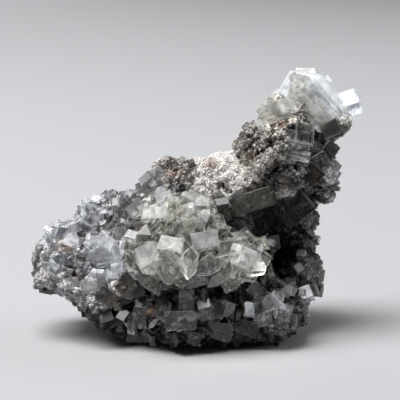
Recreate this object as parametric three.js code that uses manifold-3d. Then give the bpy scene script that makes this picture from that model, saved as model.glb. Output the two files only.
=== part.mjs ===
// A barite specimen: a rough grey-white rock, about 93 mm wide and 74 mm high, overgrown with
// blocky barite crystals. The rock is a low body that runs out to a nose on the left and climbs on the
// right into a leaning arm, with a deep recess below it. Pale crystals crown the arm, hang from the
// ledge under it, stand out in a thick cluster in the middle and crowd the foot.
//
// Units are millimetres. +Z is up, +X runs from the nose to the arm and the front faces -Y.
// The origin lies on the flat that the rock rests on.

import * as THREE from "three";
import { ConvexGeometry } from "three/addons/geometries/ConvexGeometry.js";
import { ImprovedNoise } from "three/addons/math/ImprovedNoise.js";
import { MeshSurfaceSampler } from "three/addons/math/MeshSurfaceSampler.js";
import { mergeVertices } from "three/addons/utils/BufferGeometryUtils.js";
import Module from "manifold-3d";

const wasm = await Module();
wasm.setup();

// ---------------------------------------------------------------------------------------------
// Driving dimensions
// ---------------------------------------------------------------------------------------------

const FRONT_TILT = 12; // degrees by which the sheet below leans back, as the front is looked at
const EYE_DISTANCE = 420; // from the eye to the middle of the sheet
const SHEET_MIDDLE = new THREE.Vector3(1, 0, 37); // where the sheet's middle lies in the part's frame
const SHEET_UP = 41; // the height that is written on the sheet at its middle

const ROCK_EDGE = 4.4; // length of a rock triangle's side
const ARM_EDGE = 3.2; // the same on the arm, which is the craggiest
const ROUGHNESS = 2.6; // how far the rock's surface swells and dips
const ROUGH_WAVE = 9; // distance from one swelling to the next
const GRIT = 1.5; // a finer roughness on top of it
const GRIT_WAVE = 4.3;
const FLATS = 13; // broken faces on each lump
const FLAT_HEIGHT = [0.79, 0.96]; // how far from a lump's middle they lie, as shares of its radius

const SMALL_CRYSTALS = 16; // tried at random places of the rock, besides the ones with a place of their own
const SMALL_LENGTH = [2.6, 4.4]; // their shortest and longest
const SMALL_WIDTH = [0.55, 0.85]; // as a share of the length, and so is the thickness
const SMALL_THICKNESS = [0.6, 0.9];
const SMALL_SUNK = 0.4; // the share of the length that is in the rock
const SMALL_FROM = 3; // they start this high above the ground

const CONTACT_GAP = 0.3; // between a crystal and the rock or the crystals that it grows on
const FOOT_CLEARANCE = 0.4; // the crystals end this far above the surface that the rock rests on
const LEAST_VOLUME = 4; // smaller remains of crystals that are almost all inside the rock are dropped

// ---------------------------------------------------------------------------------------------
// The sheet: every piece is placed by where it shows from the front
// ---------------------------------------------------------------------------------------------

// Places are written as [across, up, out]: across and up are read on a sheet that leans back by
// FRONT_TILT, and out is the distance in front of it, towards the eye.
const tilt = THREE.MathUtils.degToRad(FRONT_TILT);
const RIGHT = new THREE.Vector3(1, 0, 0);
const UP = new THREE.Vector3(0, Math.sin(tilt), Math.cos(tilt));
const OUT = new THREE.Vector3(0, -Math.cos(tilt), Math.sin(tilt));
const SHEET = new THREE.Matrix4().makeBasis(RIGHT, UP, OUT);
const EYE = SHEET_MIDDLE.clone().addScaledVector(OUT, EYE_DISTANCE);

// A place that shows at (across, up), whatever its distance in front of the sheet.
function place([across, up, out]) {
  const shrink = 1 - out / EYE_DISTANCE;
  const onSheet = new THREE.Vector3((across - SHEET_MIDDLE.x) * shrink, (up - SHEET_UP) * shrink, out);
  return onSheet.applyMatrix4(SHEET).add(SHEET_MIDDLE);
}

// A direction written as [right, up, out], in the part's frame.
const direction = (v) => new THREE.Vector3(...v).normalize().applyMatrix4(SHEET);

// ---------------------------------------------------------------------------------------------
// Solids
// ---------------------------------------------------------------------------------------------

// A closed three.js geometry as a solid that can be joined and cut.
function solidOf(geometry) {
  const bare = geometry.clone();
  bare.deleteAttribute("normal");
  bare.deleteAttribute("uv");
  const merged = mergeVertices(bare, 1e-4);
  return new wasm.Manifold(
    new wasm.Mesh({
      numProp: 3,
      vertProperties: new Float32Array(merged.getAttribute("position").array),
      triVerts: new Uint32Array(merged.index.array),
    }),
  );
}

function geometryOf(solid) {
  const mesh = solid.getMesh();
  const geometry = new THREE.BufferGeometry();
  geometry.setAttribute("position", new THREE.BufferAttribute(mesh.vertProperties, 3));
  geometry.setIndex(new THREE.BufferAttribute(mesh.triVerts, 1));
  geometry.computeVertexNormals();
  return geometry;
}

const joined = (solids) => solids.reduce((all, one) => all.add(one));

// The bodies that a solid falls into, the largest first.
const bodiesOf = (solid) => solid.decompose().sort((a, b) => b.volume() - a.volume());

// Everything under a height, as a slab to cut away.
function groundBelow(height) {
  const reach = 300;
  const slab = new THREE.BoxGeometry(reach, reach, reach);
  slab.translate(0, 0, height - reach / 2);
  return solidOf(slab);
}

// Random numbers from 0 to 1, the same on every run: a linear congruential generator.
function seeded(seed) {
  let state = seed;
  return () => {
    state = (Math.imul(state, 1664525) + 1013904223) >>> 0;
    return state / 2 ** 32;
  };
}

const between = (random, [low, high]) => low + (high - low) * random();

const randomDirection = (random) =>
  new THREE.Vector3(random() - 0.5, random() - 0.5, random() - 0.5).normalize();

// ---------------------------------------------------------------------------------------------
// The rock
// ---------------------------------------------------------------------------------------------

const noise = new ImprovedNoise();
const breakage = seeded(7);

const waves = (p, length) => noise.noise(p.x / length, p.y / length, p.z / length);

// How far the surface stands out at a point: swellings with sharp creases between them, and grit.
const relief = (p) => ROUGHNESS * (2 * Math.abs(waves(p, ROUGH_WAVE)) - 0.3) + GRIT * waves(p, GRIT_WAVE);

// A lump: an egg with these radii, rolled in the sheet, with flats broken off it. Everything is worked
// out in its own space, where it is a ball of radius 1.
function lump(at, radii, roll = 0) {
  const toPart = SHEET.clone().setPosition(place(at));
  toPart.multiply(new THREE.Matrix4().makeRotationZ(THREE.MathUtils.degToRad(roll)));
  toPart.multiply(new THREE.Matrix4().makeScale(...radii));
  const flats = Array.from({ length: FLATS }, () => ({
    facing: randomDirection(breakage),
    height: between(breakage, FLAT_HEIGHT),
  }));
  return { toOwn: toPart.invert(), flats };
}

// How far a ray goes before it leaves a lump, or 0 where it misses it.
function exitOf({ toOwn, flats }, from, heading) {
  const start = from.clone().applyMatrix4(toOwn);
  const step = from.clone().add(heading).applyMatrix4(toOwn).sub(start);
  const a = step.lengthSq();
  const b = start.dot(step);
  const inside = b * b - a * (start.lengthSq() - 1);
  if (inside <= 0) return 0;
  const entry = (-b - Math.sqrt(inside)) / a;
  let exit = (-b + Math.sqrt(inside)) / a;
  for (const { facing, height } of flats) {
    const slope = facing.dot(step);
    const distance = (height - facing.dot(start)) / slope;
    if (slope > 0) exit = Math.min(exit, distance);
    else if (distance > exit) return 0;
  }
  return exit > entry ? Math.max(exit, 0) : 0;
}

// A mass of rock: a ball round its middle, stretched to the mass's rough size, whose points have moved
// out to the farthest lump in their direction, and by `grow` on top of that.
function mass({ middle, spread, lumps, edge = ROCK_EDGE }, grow) {
  const heart = place(middle);
  const size = Math.cbrt(spread[0] * spread[1] * spread[2]);
  const ball = new THREE.IcosahedronGeometry(1, Math.round((1.1 * size) / edge));
  const position = ball.getAttribute("position");
  const stretch = new THREE.Vector3(...spread);
  for (let i = 0; i < position.count; i++) {
    const outward = new THREE.Vector3().fromBufferAttribute(position, i);
    outward.multiply(stretch).normalize().applyMatrix4(SHEET);
    const reach = Math.max(...lumps.map((one) => exitOf(one, heart, outward)));
    const point = heart.clone().addScaledVector(outward, reach);
    point.addScaledVector(outward, relief(point) + grow);
    position.setXYZ(i, point.x, point.y, point.z);
  }
  return solidOf(ball);
}

const MASSES = {
  body: {
    middle: [-5, 25, -2],
    spread: [38, 24, 22],
    lumps: [
      lump([-34.8, 24.5, 0], [11.3, 9.8, 12], 15), // nose
      lump([-24.5, 30, -3], [13.5, 10.5, 14], 25), // left shoulder
      lump([-25, 15, 2], [13, 8, 13], -30), // left belly
      lump([-14, 9.5, 0], [13, 8.5, 15], -15), // left foot
      lump([-8, 27, -4], [17, 18.5, 19]), // trunk
      lump([-16.5, 37, -4], [10, 6.5, 10], 30), // ridge on the left
      lump([-5.4, 43.8, -6], [9, 9, 9]), // hump of the ridge
      lump([4, 45.6, -2], [12.8, 6.6, 9], 30), // sugary band
      lump([6, 44.4, -8], [12, 7.6, 8], 8), // saddle behind the band
      lump([11.5, 44, 0], [8.5, 8.5, 10]), // between the band and the arm
      lump([14, 28, -12], [18, 16.5, 11]), // back
      lump([0, 12, 0], [22, 11, 19]), // foot
      lump([18.4, 11.2, 4], [10.6, 9, 13]), // foot on the right
      lump([-4, 25, 11], [15, 10, 11]), // boss under the middle crystals
      lump([10.5, 23.5, 10], [9, 6.5, 10]),
    ],
  },
  arm: {
    middle: [24, 53, -1],
    spread: [12, 14, 10],
    edge: ARM_EDGE,
    lumps: [
      lump([16, 48, 0], [9, 8, 10], 20), // root
      lump([23.5, 54, 1], [10.4, 9.2, 10], 30),
      lump([15.9, 57, 2.5], [4.8, 4.8, 5.5]), // knob over the saddle
      lump([26.6, 63.3, 0], [8.4, 7.6, 9], 20),
      lump([36, 61.9, -1], [7.2, 4.9, 7], 12), // top
      lump([33, 50, -3], [6.4, 8.4, 8]), // right side
      lump([35.4, 43.8, -1], [3, 3.8, 4]), // tooth at the lower right
      lump([25, 47.5, 4], [6, 4.8, 6.5]), // underside
      lump([26, 43, -8], [8.4, 9, 8]), // back
    ],
  },
  wall: {
    middle: [28, 30, -6],
    spread: [6, 15, 8],
    lumps: [
      lump([29.6, 37.4, -4], [5.2, 5.4, 6.4]),
      lump([27.4, 30, -7], [4.2, 7.4, 8]),
      lump([30.1, 22.6, -4], [5.5, 7.4, 8.6]),
    ],
  },
};

// What is missing from the masses, as lumps to take away.
const hollow = (at, radii) => ({ middle: at, spread: radii, lumps: [lump(at, radii)] });

const HOLLOWS = {
  recess: hollow([23.4, 25.5, 2], [5.9, 8.5, 13]), // below the arm, in front of the back and the wall
  slot: hollow([7.5, 14.5, 17], [4, 2.4, 9]), // in the foot
};

// The rock before anything grows on it, with its surface moved out by `grow`.
function bareRock(grow = 0) {
  const masses = Object.values(MASSES).map((one) => mass(one, grow));
  const hollows = Object.values(HOLLOWS).map((one) => mass(one, -grow));
  return bodiesOf(joined(masses).subtract(joined(hollows)).subtract(groundBelow(0)))[0];
}

// ---------------------------------------------------------------------------------------------
// Crystals
// ---------------------------------------------------------------------------------------------

// The ends that a crystal can have: how far its sides and its broad faces step in there, as shares of
// its half-width and its half-thickness, and how long the step is, as a share of its half-thickness.
const ENDS = {
  flat: { narrow: 0, thin: 0, step: 0 },
  blunt: { narrow: 0.16, thin: 0.2, step: 0.2 }, // bevelled all round
  roof: { narrow: 0, thin: 1, step: 0.9 }, // the broad faces slope down to a ridge
  point: { narrow: 1, thin: 0, step: 1.1 }, // the sides run together, as in a lozenge
  tip: { narrow: 0.75, thin: 0.3, step: 1.3 }, // a lozenge's corner, cut short
};

// A crystal's outline where it is y wide and z thick, counted from its middle.
function profile(y, z, bevel) {
  const cut = bevel * Math.min(y, z);
  const quarter = cut > 0 ? [[y, z - cut], [y - cut, z]] : [[y, z]];
  return quarter.flatMap(([w, t]) => [[w, t], [w, -t], [-w, t], [-w, -t]]);
}

// The corners of a crystal that lies along X with its broad faces up and down: its outline, carried
// from end to end and stepped in at each. slant tilts both ends, and grow moves every face outwards.
function crystalCorners({ size, ends, bevel, slant }, grow) {
  const [long, wide, thick] = size.map((s) => s / 2);
  return ends.flatMap((end, i) => {
    const { narrow, thin, step } = ENDS[end];
    const stations = [{ x: long - step * thick, y: wide, z: thick }];
    if (step > 0) stations.push({ x: long, y: wide * (1 - narrow), z: thick * (1 - thin) });
    return stations.flatMap(({ x, y, z }) =>
      profile(y, z, bevel).map(([w, t]) => {
        const reach = (i === 0 ? -1 : 1) * (x + grow) + slant * w;
        return new THREE.Vector3(reach, w + Math.sign(w) * grow, t + Math.sign(t) * grow);
      }),
    );
  });
}

// A crystal's solid. It lies along `along` and its broad face looks towards `faces`, both directions
// in the part's frame.
function crystalSolid(one, grow = 0) {
  const x = one.along.clone().normalize();
  const z = one.faces.clone().projectOnPlane(x).normalize();
  const y = new THREE.Vector3().crossVectors(z, x);
  const frame = new THREE.Matrix4().makeBasis(x, y, z).setPosition(one.middle);
  const corners = crystalCorners(one, grow).map((corner) => corner.applyMatrix4(frame));
  return solidOf(new ConvexGeometry(corners));
}

const lots = seeded(11);
const drawn = (list) => list[Math.floor(lots() * list.length)];

// A crystal: [across, up] where it shows, its lift off the rock towards the eye, [length, width,
// thickness], and the directions of its length and of its broad face as [right, up, out]. Its two ends
// are drawn by lot where none are given.
const crystal = (at, lift, size, along, faces, ends, bevel = 0) => ({
  at,
  lift,
  size,
  along: direction(along),
  faces: direction(faces),
  ends: ends ? ends.split(" ") : [drawn(["flat", "roof", "point"]), drawn(["flat", "flat", "roof"])],
  slant: ends ? 0 : 0.5 * (lots() - 0.5),
  bevel,
});

const CLUSTERS = {
  summit_crystals: [
    crystal([33.2, 69.8], 3.5, [18, 9.5, 7.5], [0.64, -0.77, 0.05], [-0.3, -0.25, 0.92], "tip blunt", 0.35),
    crystal([26.4, 73], 3.6, [7.6, 3.4, 3.6], [0.5, 0.86, 0.05], [-0.35, 0.2, 0.9], "blunt blunt"),
    crystal([41.4, 67.6], 3.5, [9.2, 5.2, 5.4], [0.93, 0.3, 0.2], [-0.1, 0.55, 0.82], "blunt blunt", 0.2),
    crystal([28.6, 70], 3.6, [7, 6, 5], [0.25, 0.96, 0.05], [-0.2, -0.1, 0.97], "flat blunt"),
    crystal([30.5, 74.3], 1, [8.6, 7, 6.5], [0.8, 0.5, 0.2], [-0.2, 0.35, 0.9], "tip tip", 0.3),
    crystal([36, 74.1], 1.5, [3.6, 2.2, 2.6], [0.8, 0.6, 0], [0, 0.3, 0.95], "flat roof"),
    crystal([35.7, 66], 3, [7, 5, 5], [0.9, 0.35, 0.1], [-0.1, -0.1, 0.98], "flat blunt"),
    crystal([41.2, 64.8], 2, [5.5, 4, 4.4], [0.7, -0.7, 0.1], [0.1, -0.5, 0.86], "flat roof"),
    crystal([37.5, 61.2], 2.2, [5.4, 5, 5], [0.9, 0.42, 0.05], [-0.1, -0.2, 0.97], "flat flat"),
  ],
  arm_left_crystals: [
    crystal([21.6, 65.2], 2, [9, 5.4, 4.8], [0.92, 0.36, 0.05], [-0.15, 0.1, 0.97], "point blunt"),
    crystal([19.7, 66.4], 1.2, [4.4, 3.2, 3.4], [0.6, 0.8, 0], [-0.3, 0.3, 0.9]),
    crystal([22.4, 69.3], 1.2, [4.4, 3.2, 3.2], [0.7, 0.7, 0.1], [-0.2, 0.2, 0.95]),
    crystal([25.4, 67.3], 2.4, [4.4, 3.2, 3.4], [0.97, 0.2, 0], [0, 0.3, 0.95]),
    crystal([18.8, 61.8], 1, [3.2, 2.8, 3], [0.9, 0.3, 0.2], [0, 0.4, 0.9]),
  ],
  arm_front_crystals: [
    crystal([30, 59.4], 2, [6.2, 5, 4.8], [0.08, 0.99, 0.05], [0.1, -0.1, 0.98], "flat flat"),
    crystal([28.6, 55.4], 2.2, [5.8, 4.2, 4.4], [0.95, -0.25, 0.1], [-0.1, -0.15, 0.98], "flat flat"),
    crystal([29.2, 53.4], 1.8, [5.2, 2.2, 4], [0.96, -0.2, 0.1], [0, -0.3, 0.95], "flat flat"),
    crystal([26.4, 58.6], 1, [4, 3, 3.2], [0.2, 0.96, 0], [-0.2, 0, 0.97]),
    crystal([33, 55.2], 1.2, [4, 3.6, 4], [0.5, 0.86, 0], [0.1, 0.1, 0.98]),
  ],
  arm_right_crystals: [
    crystal([37, 55], 1.2, [4.8, 4, 4], [0.6, 0.8, 0], [0.2, 0, 0.98], "roof flat"),
    crystal([34.7, 51.6], 1.6, [4.8, 4.2, 4], [0.5, -0.86, 0], [0.1, 0.1, 0.98], "flat flat"),
    crystal([32.4, 48.4], 1.4, [5.4, 4.8, 4.8], [0.7, -0.7, 0], [0.1, -0.2, 0.97], "flat flat"),
  ],
  ledge_crystals: [
    crystal([15.8, 41], 2.2, [12.4, 5.4, 5.5], [0.95, 0.3, 0.05], [0, -0.12, 0.99], "blunt blunt"),
    crystal([11.4, 42.4], 3.6, [3.2, 2.8, 3], [0.95, 0.2, 0], [0, 0.1, 0.99], "point point"),
    crystal([10.4, 37.2], 2.4, [5.8, 3.4, 3.6], [0.08, 0.99, 0.05], [0.1, 0, 0.99], "flat flat"),
    crystal([7.4, 38.4], 2.4, [6.4, 3.6, 3.6], [-0.15, 0.98, 0.1], [0.1, 0, 0.99], "flat roof"),
    crystal([27, 38.8], 2.4, [10.5, 7.8, 5.4], [0.76, 0.62, 0.05], [-0.1, -0.2, 0.97], "blunt blunt"),
    crystal([21.6, 37], 1.8, [5.4, 4.2, 4.4], [0.8, -0.5, 0], [0, 0.1, 0.98], "flat roof"),
  ],
  recess_crystals: [
    crystal([16.5, 33.2], 1.4, [8.4, 4.2, 4.4], [0.97, 0.2, 0], [0, 0, 1], "flat flat"),
    crystal([12, 33.2], 1.4, [5.6, 3.6, 4.2], [0.97, -0.15, 0], [0, -0.1, 0.99]),
    crystal([20, 29.2], 1, [7, 5, 5], [0.97, 0.15, 0], [0, -0.2, 0.98], "flat flat"),
    crystal([20.8, 25.6], 1.2, [6.6, 3, 4.4], [0.99, 0.04, 0], [0, -0.15, 0.98], "flat flat"),
  ],
  upper_middle_crystals: [
    crystal([-3.2, 39.6], 2, [8.8, 4.8, 4.8], [0.85, 0.52, 0.05], [-0.1, 0.15, 0.98], "point blunt"),
    crystal([1.6, 38.6], 2.2, [6, 3.8, 4.4], [0.04, 0.99, 0.1], [0, 0.05, 0.99], "flat roof"),
    crystal([-7.2, 40.4], 1.4, [4.6, 3.2, 3.6], [0.9, 0.35, 0.1], [0, 0.45, 0.88]),
    crystal([-0.8, 35.8], 1.8, [6.4, 3.2, 4.4], [0.97, 0.1, 0], [0, 0.1, 0.99], "flat flat"),
    crystal([-11.5, 36.4], 1.8, [6.6, 3.8, 4.2], [0.97, 0.05, 0.1], [-0.05, 0.5, 0.86], "flat flat"),
    crystal([-10.4, 34.2], 1.8, [6.4, 2.8, 4.2], [0.75, 0.62, 0.1], [0.25, -0.3, 0.9], "flat point"),
    crystal([-2, 33], 2, [8.4, 4.6, 5], [0.97, 0.2, 0], [0, 0.12, 0.99], "flat blunt"),
    crystal([5.7, 33.2], 3, [7.6, 5.8, 5], [0.25, 0.96, 0.05], [0.1, 0.05, 0.99], "blunt tip"),
  ],
  middle_crystals: [
    crystal([-6.6, 29], 3.6, [8.6, 5.4, 5.4], [0.95, -0.2, 0.2], [-0.2, 0.66, 0.72], "blunt tip"),
    crystal([-13.2, 25.4], 2.6, [7.4, 6.4, 5.6], [0.9, 0.42, 0.05], [-0.22, 0.36, 0.9], "tip blunt"),
    crystal([-7.2, 22.8], 3, [8, 6.8, 5.6], [0.62, -0.78, 0.05], [-0.25, -0.15, 0.95], "blunt blunt"),
    crystal([-15.7, 21.9], 2, [9.6, 3.6, 4.4], [0.66, -0.74, 0.1], [-0.45, -0.35, 0.8], "blunt blunt"),
    crystal([-14, 31.2], 2, [6.8, 5, 5], [0.02, 0.96, 0.22], [-0.35, -0.1, 0.93], "flat roof"),
    crystal([-18, 29.6], 1.2, [5.6, 3.8, 4], [0.2, 0.97, 0.1], [-0.5, -0.1, 0.85], "flat roof"),
    crystal([-10.2, 31], 2, [6.4, 3.2, 4.4], [0.1, 0.98, 0.15], [0.15, -0.1, 0.98], "flat point"),
    crystal([-3.8, 26], 3.6, [7.2, 5.2, 5.4], [0.6, -0.76, 0.1], [0.05, 0.05, 0.99], "blunt flat"),
    crystal([-1.7, 23.6], 4.6, [8.8, 3.9, 3.8], [0.14, 0.97, 0.18], [-0.1, -0.05, 0.99], "point point"),
    crystal([2.8, 22.6], 3.4, [7.2, 5, 5.2], [0.8, 0.55, 0.15], [0, -0.1, 0.99], "tip blunt"),
    crystal([2.3, 29.2], 3, [7.8, 4.6, 5], [0.97, 0.2, 0.05], [0, 0.3, 0.95], "blunt blunt"),
    crystal([-10.8, 17.8], 1.6, [5.6, 4.8, 4.6], [0.5, 0.85, 0.05], [-0.1, 0.1, 0.98], "flat flat"),
    crystal([-4.6, 18.9], 2.8, [4.8, 3.2, 3.6], [0.8, -0.55, 0.1], [0, -0.2, 0.98]),
    crystal([-0.4, 19.2], 2.8, [6.2, 3.6, 4.4], [0.95, 0.3, 0], [0, -0.4, 0.92], "flat flat"),
    crystal([4.8, 19], 2.4, [5.4, 3.2, 4.4], [0.8, 0.6, 0], [0.1, -0.4, 0.9], "point flat"),
  ],
  right_middle_crystals: [
    crystal([14.8, 23.3], 3, [9.4, 6, 5.4], [0.88, -0.42, 0.15], [0.12, 0.3, 0.94], "blunt tip"),
    crystal([9.8, 27.6], 3, [6.8, 4.8, 5], [0.97, 0.12, 0.1], [0.05, -0.1, 0.99], "flat flat"),
    crystal([11.1, 26.4], 4.6, [4.6, 2.8, 3.2], [0.22, 0.95, 0.2], [-0.1, 0.2, 0.97], "flat roof"),
    crystal([7.6, 22.4], 3, [6.6, 4.4, 4.6], [-0.2, 0.96, 0.15], [0.05, 0, 0.99], "flat flat"),
    crystal([14.7, 27], 2.2, [6.4, 2.6, 4], [0.74, -0.66, 0.05], [0.2, 0.1, 0.97], "flat flat"),
    crystal([18.6, 23.6], 2, [3.4, 2.8, 3], [0.6, 0.7, 0.3], [0.2, 0.1, 0.97], "roof roof"),
    crystal([19.6, 20.6], 1.8, [5, 3.4, 3.8], [0.7, -0.68, 0.1], [0.1, 0, 0.99], "flat point"),
    crystal([9.6, 18.8], 2.4, [6.4, 3.6, 4.4], [0.82, 0.56, 0], [0, -0.4, 0.92], "flat flat"),
  ],
  shoulder_crystals: [
    crystal([-13.7, 46.4], 0.8, [3.8, 2.8, 3.2], [0.7, 0.7, 0.1], [-0.5, 0.4, 0.75]),
    crystal([-11.3, 46.6], 1.3, [7.2, 4, 4.2], [0.65, 0.75, 0], [-0.1, 0.2, 0.97], "blunt flat"),
    crystal([-10.4, 42.6], 1.2, [4, 3.2, 3.2], [0.9, 0.4, 0], [0, 0.2, 0.97]),
    crystal([-14.4, 42.8], 1.1, [5.2, 3.2, 3.2], [0.5, 0.86, 0], [-0.1, 0.3, 0.95]),
  ],
  left_crystals: [
    crystal([-16.8, 38.6], 1.6, [4.8, 3.2, 3.4], [0.7, 0.7, 0.1], [-0.1, 0.2, 0.97]),
    crystal([-20.4, 39.2], 1, [4.8, 3.2, 3.2], [0.6, 0.75, 0.2], [-0.2, 0.3, 0.93]),
    crystal([-21.2, 35], 1.4, [5.6, 4, 4], [0.3, 0.95, 0], [-0.1, 0.1, 0.99], "flat flat"),
    crystal([-20.8, 31.6], 1.4, [4.4, 3.8, 3.8], [0.9, 0.3, 0.1], [0, 0.1, 0.99], "flat point"),
    crystal([-26.6, 36.6], 0.9, [4.6, 3.2, 3.2], [0.8, 0.5, 0.1], [-0.1, 0.3, 0.94]),
    crystal([-29.8, 33.8], 1, [5, 4.2, 3.6], [0.3, 0.95, 0], [-0.1, 0.15, 0.98], "point flat"),
  ],
  left_plate_crystals: [
    crystal([-26, 25.1], 2, [9.6, 5, 4.8], [0.97, 0.22, 0], [-0.05, 0.2, 0.97], "point blunt"),
    crystal([-22, 22.2], 1.6, [4.8, 4, 4], [0.6, 0.75, 0.1], [0, 0, 1], "point point"),
    crystal([-25.2, 29], 1.4, [4.8, 3.2, 3.6], [0.8, -0.5, 0.1], [0, 0.3, 0.94]),
    crystal([-29.2, 28.4], 0.9, [4.2, 3, 3.2], [0.7, 0.7, 0], [-0.1, 0.2, 0.97]),
  ],
  nose_crystals: [
    crystal([-35, 29.4], 0.9, [4.6, 3.6, 3.4], [0.9, 0.3, 0.1], [-0.2, 0.2, 0.96], "point flat"),
    crystal([-40, 22], 0.6, [3.6, 3, 3], [0.8, -0.5, 0.1], [-0.2, 0.1, 0.96]),
  ],
  lower_left_crystals: [
    crystal([-28.4, 17], 1.5, [7, 4, 4.8], [0.92, 0.36, 0.1], [-0.1, 0.42, 0.9], "blunt roof"),
    crystal([-25, 13.6], 1.3, [5.2, 4.2, 4.4], [0.8, -0.5, 0.1], [0, 0.2, 0.97], "flat flat"),
    crystal([-19.8, 17.6], 1.6, [5.4, 4.2, 4.4], [0.7, 0.7, 0], [-0.1, 0.1, 0.98], "flat flat"),
    crystal([-17.6, 14.7], 2, [6.8, 2.8, 4], [0.9, 0.42, 0.05], [0, 0.3, 0.95], "point flat"),
    crystal([-14.6, 13], 1.6, [4, 3.2, 3.6], [0.9, -0.3, 0.1], [0, 0, 1]),
  ],
  foot_left_crystals: [
    crystal([-4.4, 7.8], 2.2, [8.6, 5.2, 5], [0.98, 0.04, 0.05], [0, -0.15, 0.98], "blunt blunt"),
    crystal([-2.8, 12.9], 2.4, [6.6, 4.2, 4.6], [0.05, 0.98, 0.12], [0, -0.12, 0.99], "flat flat"),
    crystal([-8.8, 9.8], 1.8, [5.2, 3, 4], [0.42, 0.9, 0.05], [-0.35, 0.2, 0.9], "flat point"),
    crystal([-12.4, 6.8], 1.4, [5, 3.6, 3.8], [0.7, -0.7, 0.1], [-0.1, 0.1, 0.98]),
    crystal([-15.8, 8.6], 1.2, [5.6, 3.6, 4], [0.1, 0.98, 0.1], [0, 0.05, 0.99], "flat flat"),
    crystal([-18.4, 7.8], 1, [4.6, 2.2, 3], [-0.2, 0.97, 0.1], [-0.2, 0, 0.98]),
    crystal([-0.8, 4], 1.4, [6.2, 3, 4], [0.97, 0.1, 0.05], [0, -0.1, 0.99], "flat flat"),
  ],
  foot_right_crystals: [
    crystal([2.6, 12.4], 1.8, [5.6, 3.6, 4.2], [-0.25, 0.95, 0.15], [0, 0.1, 0.99], "flat roof"),
    crystal([5.8, 9.8], 1.8, [5.4, 4.2, 4.4], [0.7, 0.7, 0], [0, 0, 1], "flat flat"),
    crystal([9, 9.2], 2.6, [6, 2.2, 4.2], [0.15, -0.97, 0.1], [0.1, 0.15, 0.98], "point point"),
    crystal([6.4, 4.9], 1.6, [7.8, 5, 5], [0.95, -0.25, 0.05], [0, -0.15, 0.98], "blunt blunt"),
    crystal([14.9, 10.4], 2.4, [3.8, 2.5, 3.6], [0.15, 0.98, 0.05], [0, 0.12, 0.99], "flat flat"),
    crystal([19.2, 11.6], 1.9, [5.8, 4.2, 4.4], [0.9, 0.3, 0.1], [0.05, 0.2, 0.97], "flat flat"),
    crystal([14.4, 5.4], 1.6, [5.8, 4, 4.4], [0.9, -0.3, 0.1], [0, -0.1, 0.99], "flat flat"),
    crystal([17, 15.4], 1.9, [4.8, 3.8, 4.2], [0.7, -0.6, 0.2], [0, 0.1, 0.99], "flat roof"),
    crystal([13.2, 15], 1.2, [5.2, 2.4, 3.8], [0.05, 0.99, 0.05], [0.1, 0, 0.99], "flat flat"),
    crystal([22.4, 13], 1.8, [4.4, 3.2, 3.8], [0.3, 0.94, 0.1], [0.1, 0.1, 0.98]),
    crystal([21.8, 16.4], 1.7, [4.8, 3.6, 4], [0.7, 0.7, 0.1], [0, 0.1, 0.99], "flat flat"),
    crystal([29.6, 14], 1.8, [5.8, 3.6, 4], [0.9, 0.42, 0.05], [-0.05, 0.2, 0.97], "flat flat"),
    crystal([29, 9.4], 1.5, [6.2, 3.6, 4], [0.05, 0.99, 0.05], [0.2, 0.05, 0.98], "flat flat"),
    crystal([23.8, 8], 1.5, [5, 3.6, 3.8], [0.2, 0.97, 0.1], [0.1, 0, 0.99], "flat roof"),
  ],
  wall_crystals: [
    crystal([32.2, 21.8], 1.2, [5, 4.2, 4], [0.6, 0.75, 0.1], [0.1, 0, 0.99], "point flat"),
  ],
};

// ---------------------------------------------------------------------------------------------
// The specimen
// ---------------------------------------------------------------------------------------------

const crust = new THREE.MeshStandardMaterial({ color: 0xb4aea2, roughness: 0.9 }); // dull beige-grey
const barite = new THREE.MeshStandardMaterial({ color: 0xdcdfd6, roughness: 0.15 }); // glassy, pale

// The crystals of a cluster with their middles: where the line of sight meets the rock, and off it.
function setOnRock(crystals, rockMesh) {
  const ray = new THREE.Raycaster();
  return crystals.map((one) => {
    const spot = place([...one.at, 0]);
    const sight = spot.clone().sub(EYE).normalize();
    ray.set(EYE, sight);
    const hit = ray.intersectObject(rockMesh)[0];
    return { ...one, middle: (hit ? hit.point : spot).addScaledVector(sight, -one.lift) };
  });
}

// Small crystals at random places of the rock, each leaning a little off the surface under it.
function strewnCrystals(rockMesh) {
  const random = seeded(23);
  const sampler = new MeshSurfaceSampler(rockMesh).setRandomGenerator(random).build();
  const foot = new THREE.Vector3();
  const normal = new THREE.Vector3();
  return Array.from({ length: SMALL_CRYSTALS }, () => {
    sampler.sample(foot, normal);
    const long = between(random, SMALL_LENGTH);
    const lying = randomDirection(random).cross(normal).normalize();
    return {
      size: [long, long * between(random, SMALL_WIDTH), long * between(random, SMALL_THICKNESS)],
      along: lying.addScaledVector(normal, random()),
      faces: normal.clone(),
      ends: ["flat", "flat"],
      slant: random() - 0.5,
      bevel: 0,
      middle: foot.clone().addScaledVector(normal, long * (0.5 - SMALL_SUNK)),
    };
  });
}

const specimen = new THREE.Group();

function addPiece(name, solid, material) {
  const mesh = new THREE.Mesh(geometryOf(solid), material);
  mesh.name = name;
  specimen.add(mesh);
}

const bare = bareRock();
const bareMesh = new THREE.Mesh(geometryOf(bare).toNonIndexed());
bareMesh.geometry.computeVertexNormals();

// A cluster is made of crystals grown into each other, and ends just short of the rock and of the
// clusters before it. Where its crystals don't all meet, each body of them is a piece of its own.
let taken = bareRock(CONTACT_GAP).add(groundBelow(FOOT_CLEARANCE));
const bodies = [];
for (const [name, crystals] of Object.entries(CLUSTERS)) {
  const set = setOnRock(crystals, bareMesh);
  const free = joined(set.map((one) => crystalSolid(one))).subtract(taken);
  const own = bodiesOf(free).filter((body) => body.volume() > LEAST_VOLUME);
  own.forEach((body, i) => addPiece(i > 0 ? `${name}_${i + 1}` : name, body, barite));
  bodies.push(...own);
  taken = taken.add(joined(set.map((one) => crystalSolid(one, CONTACT_GAP))));
}

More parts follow.
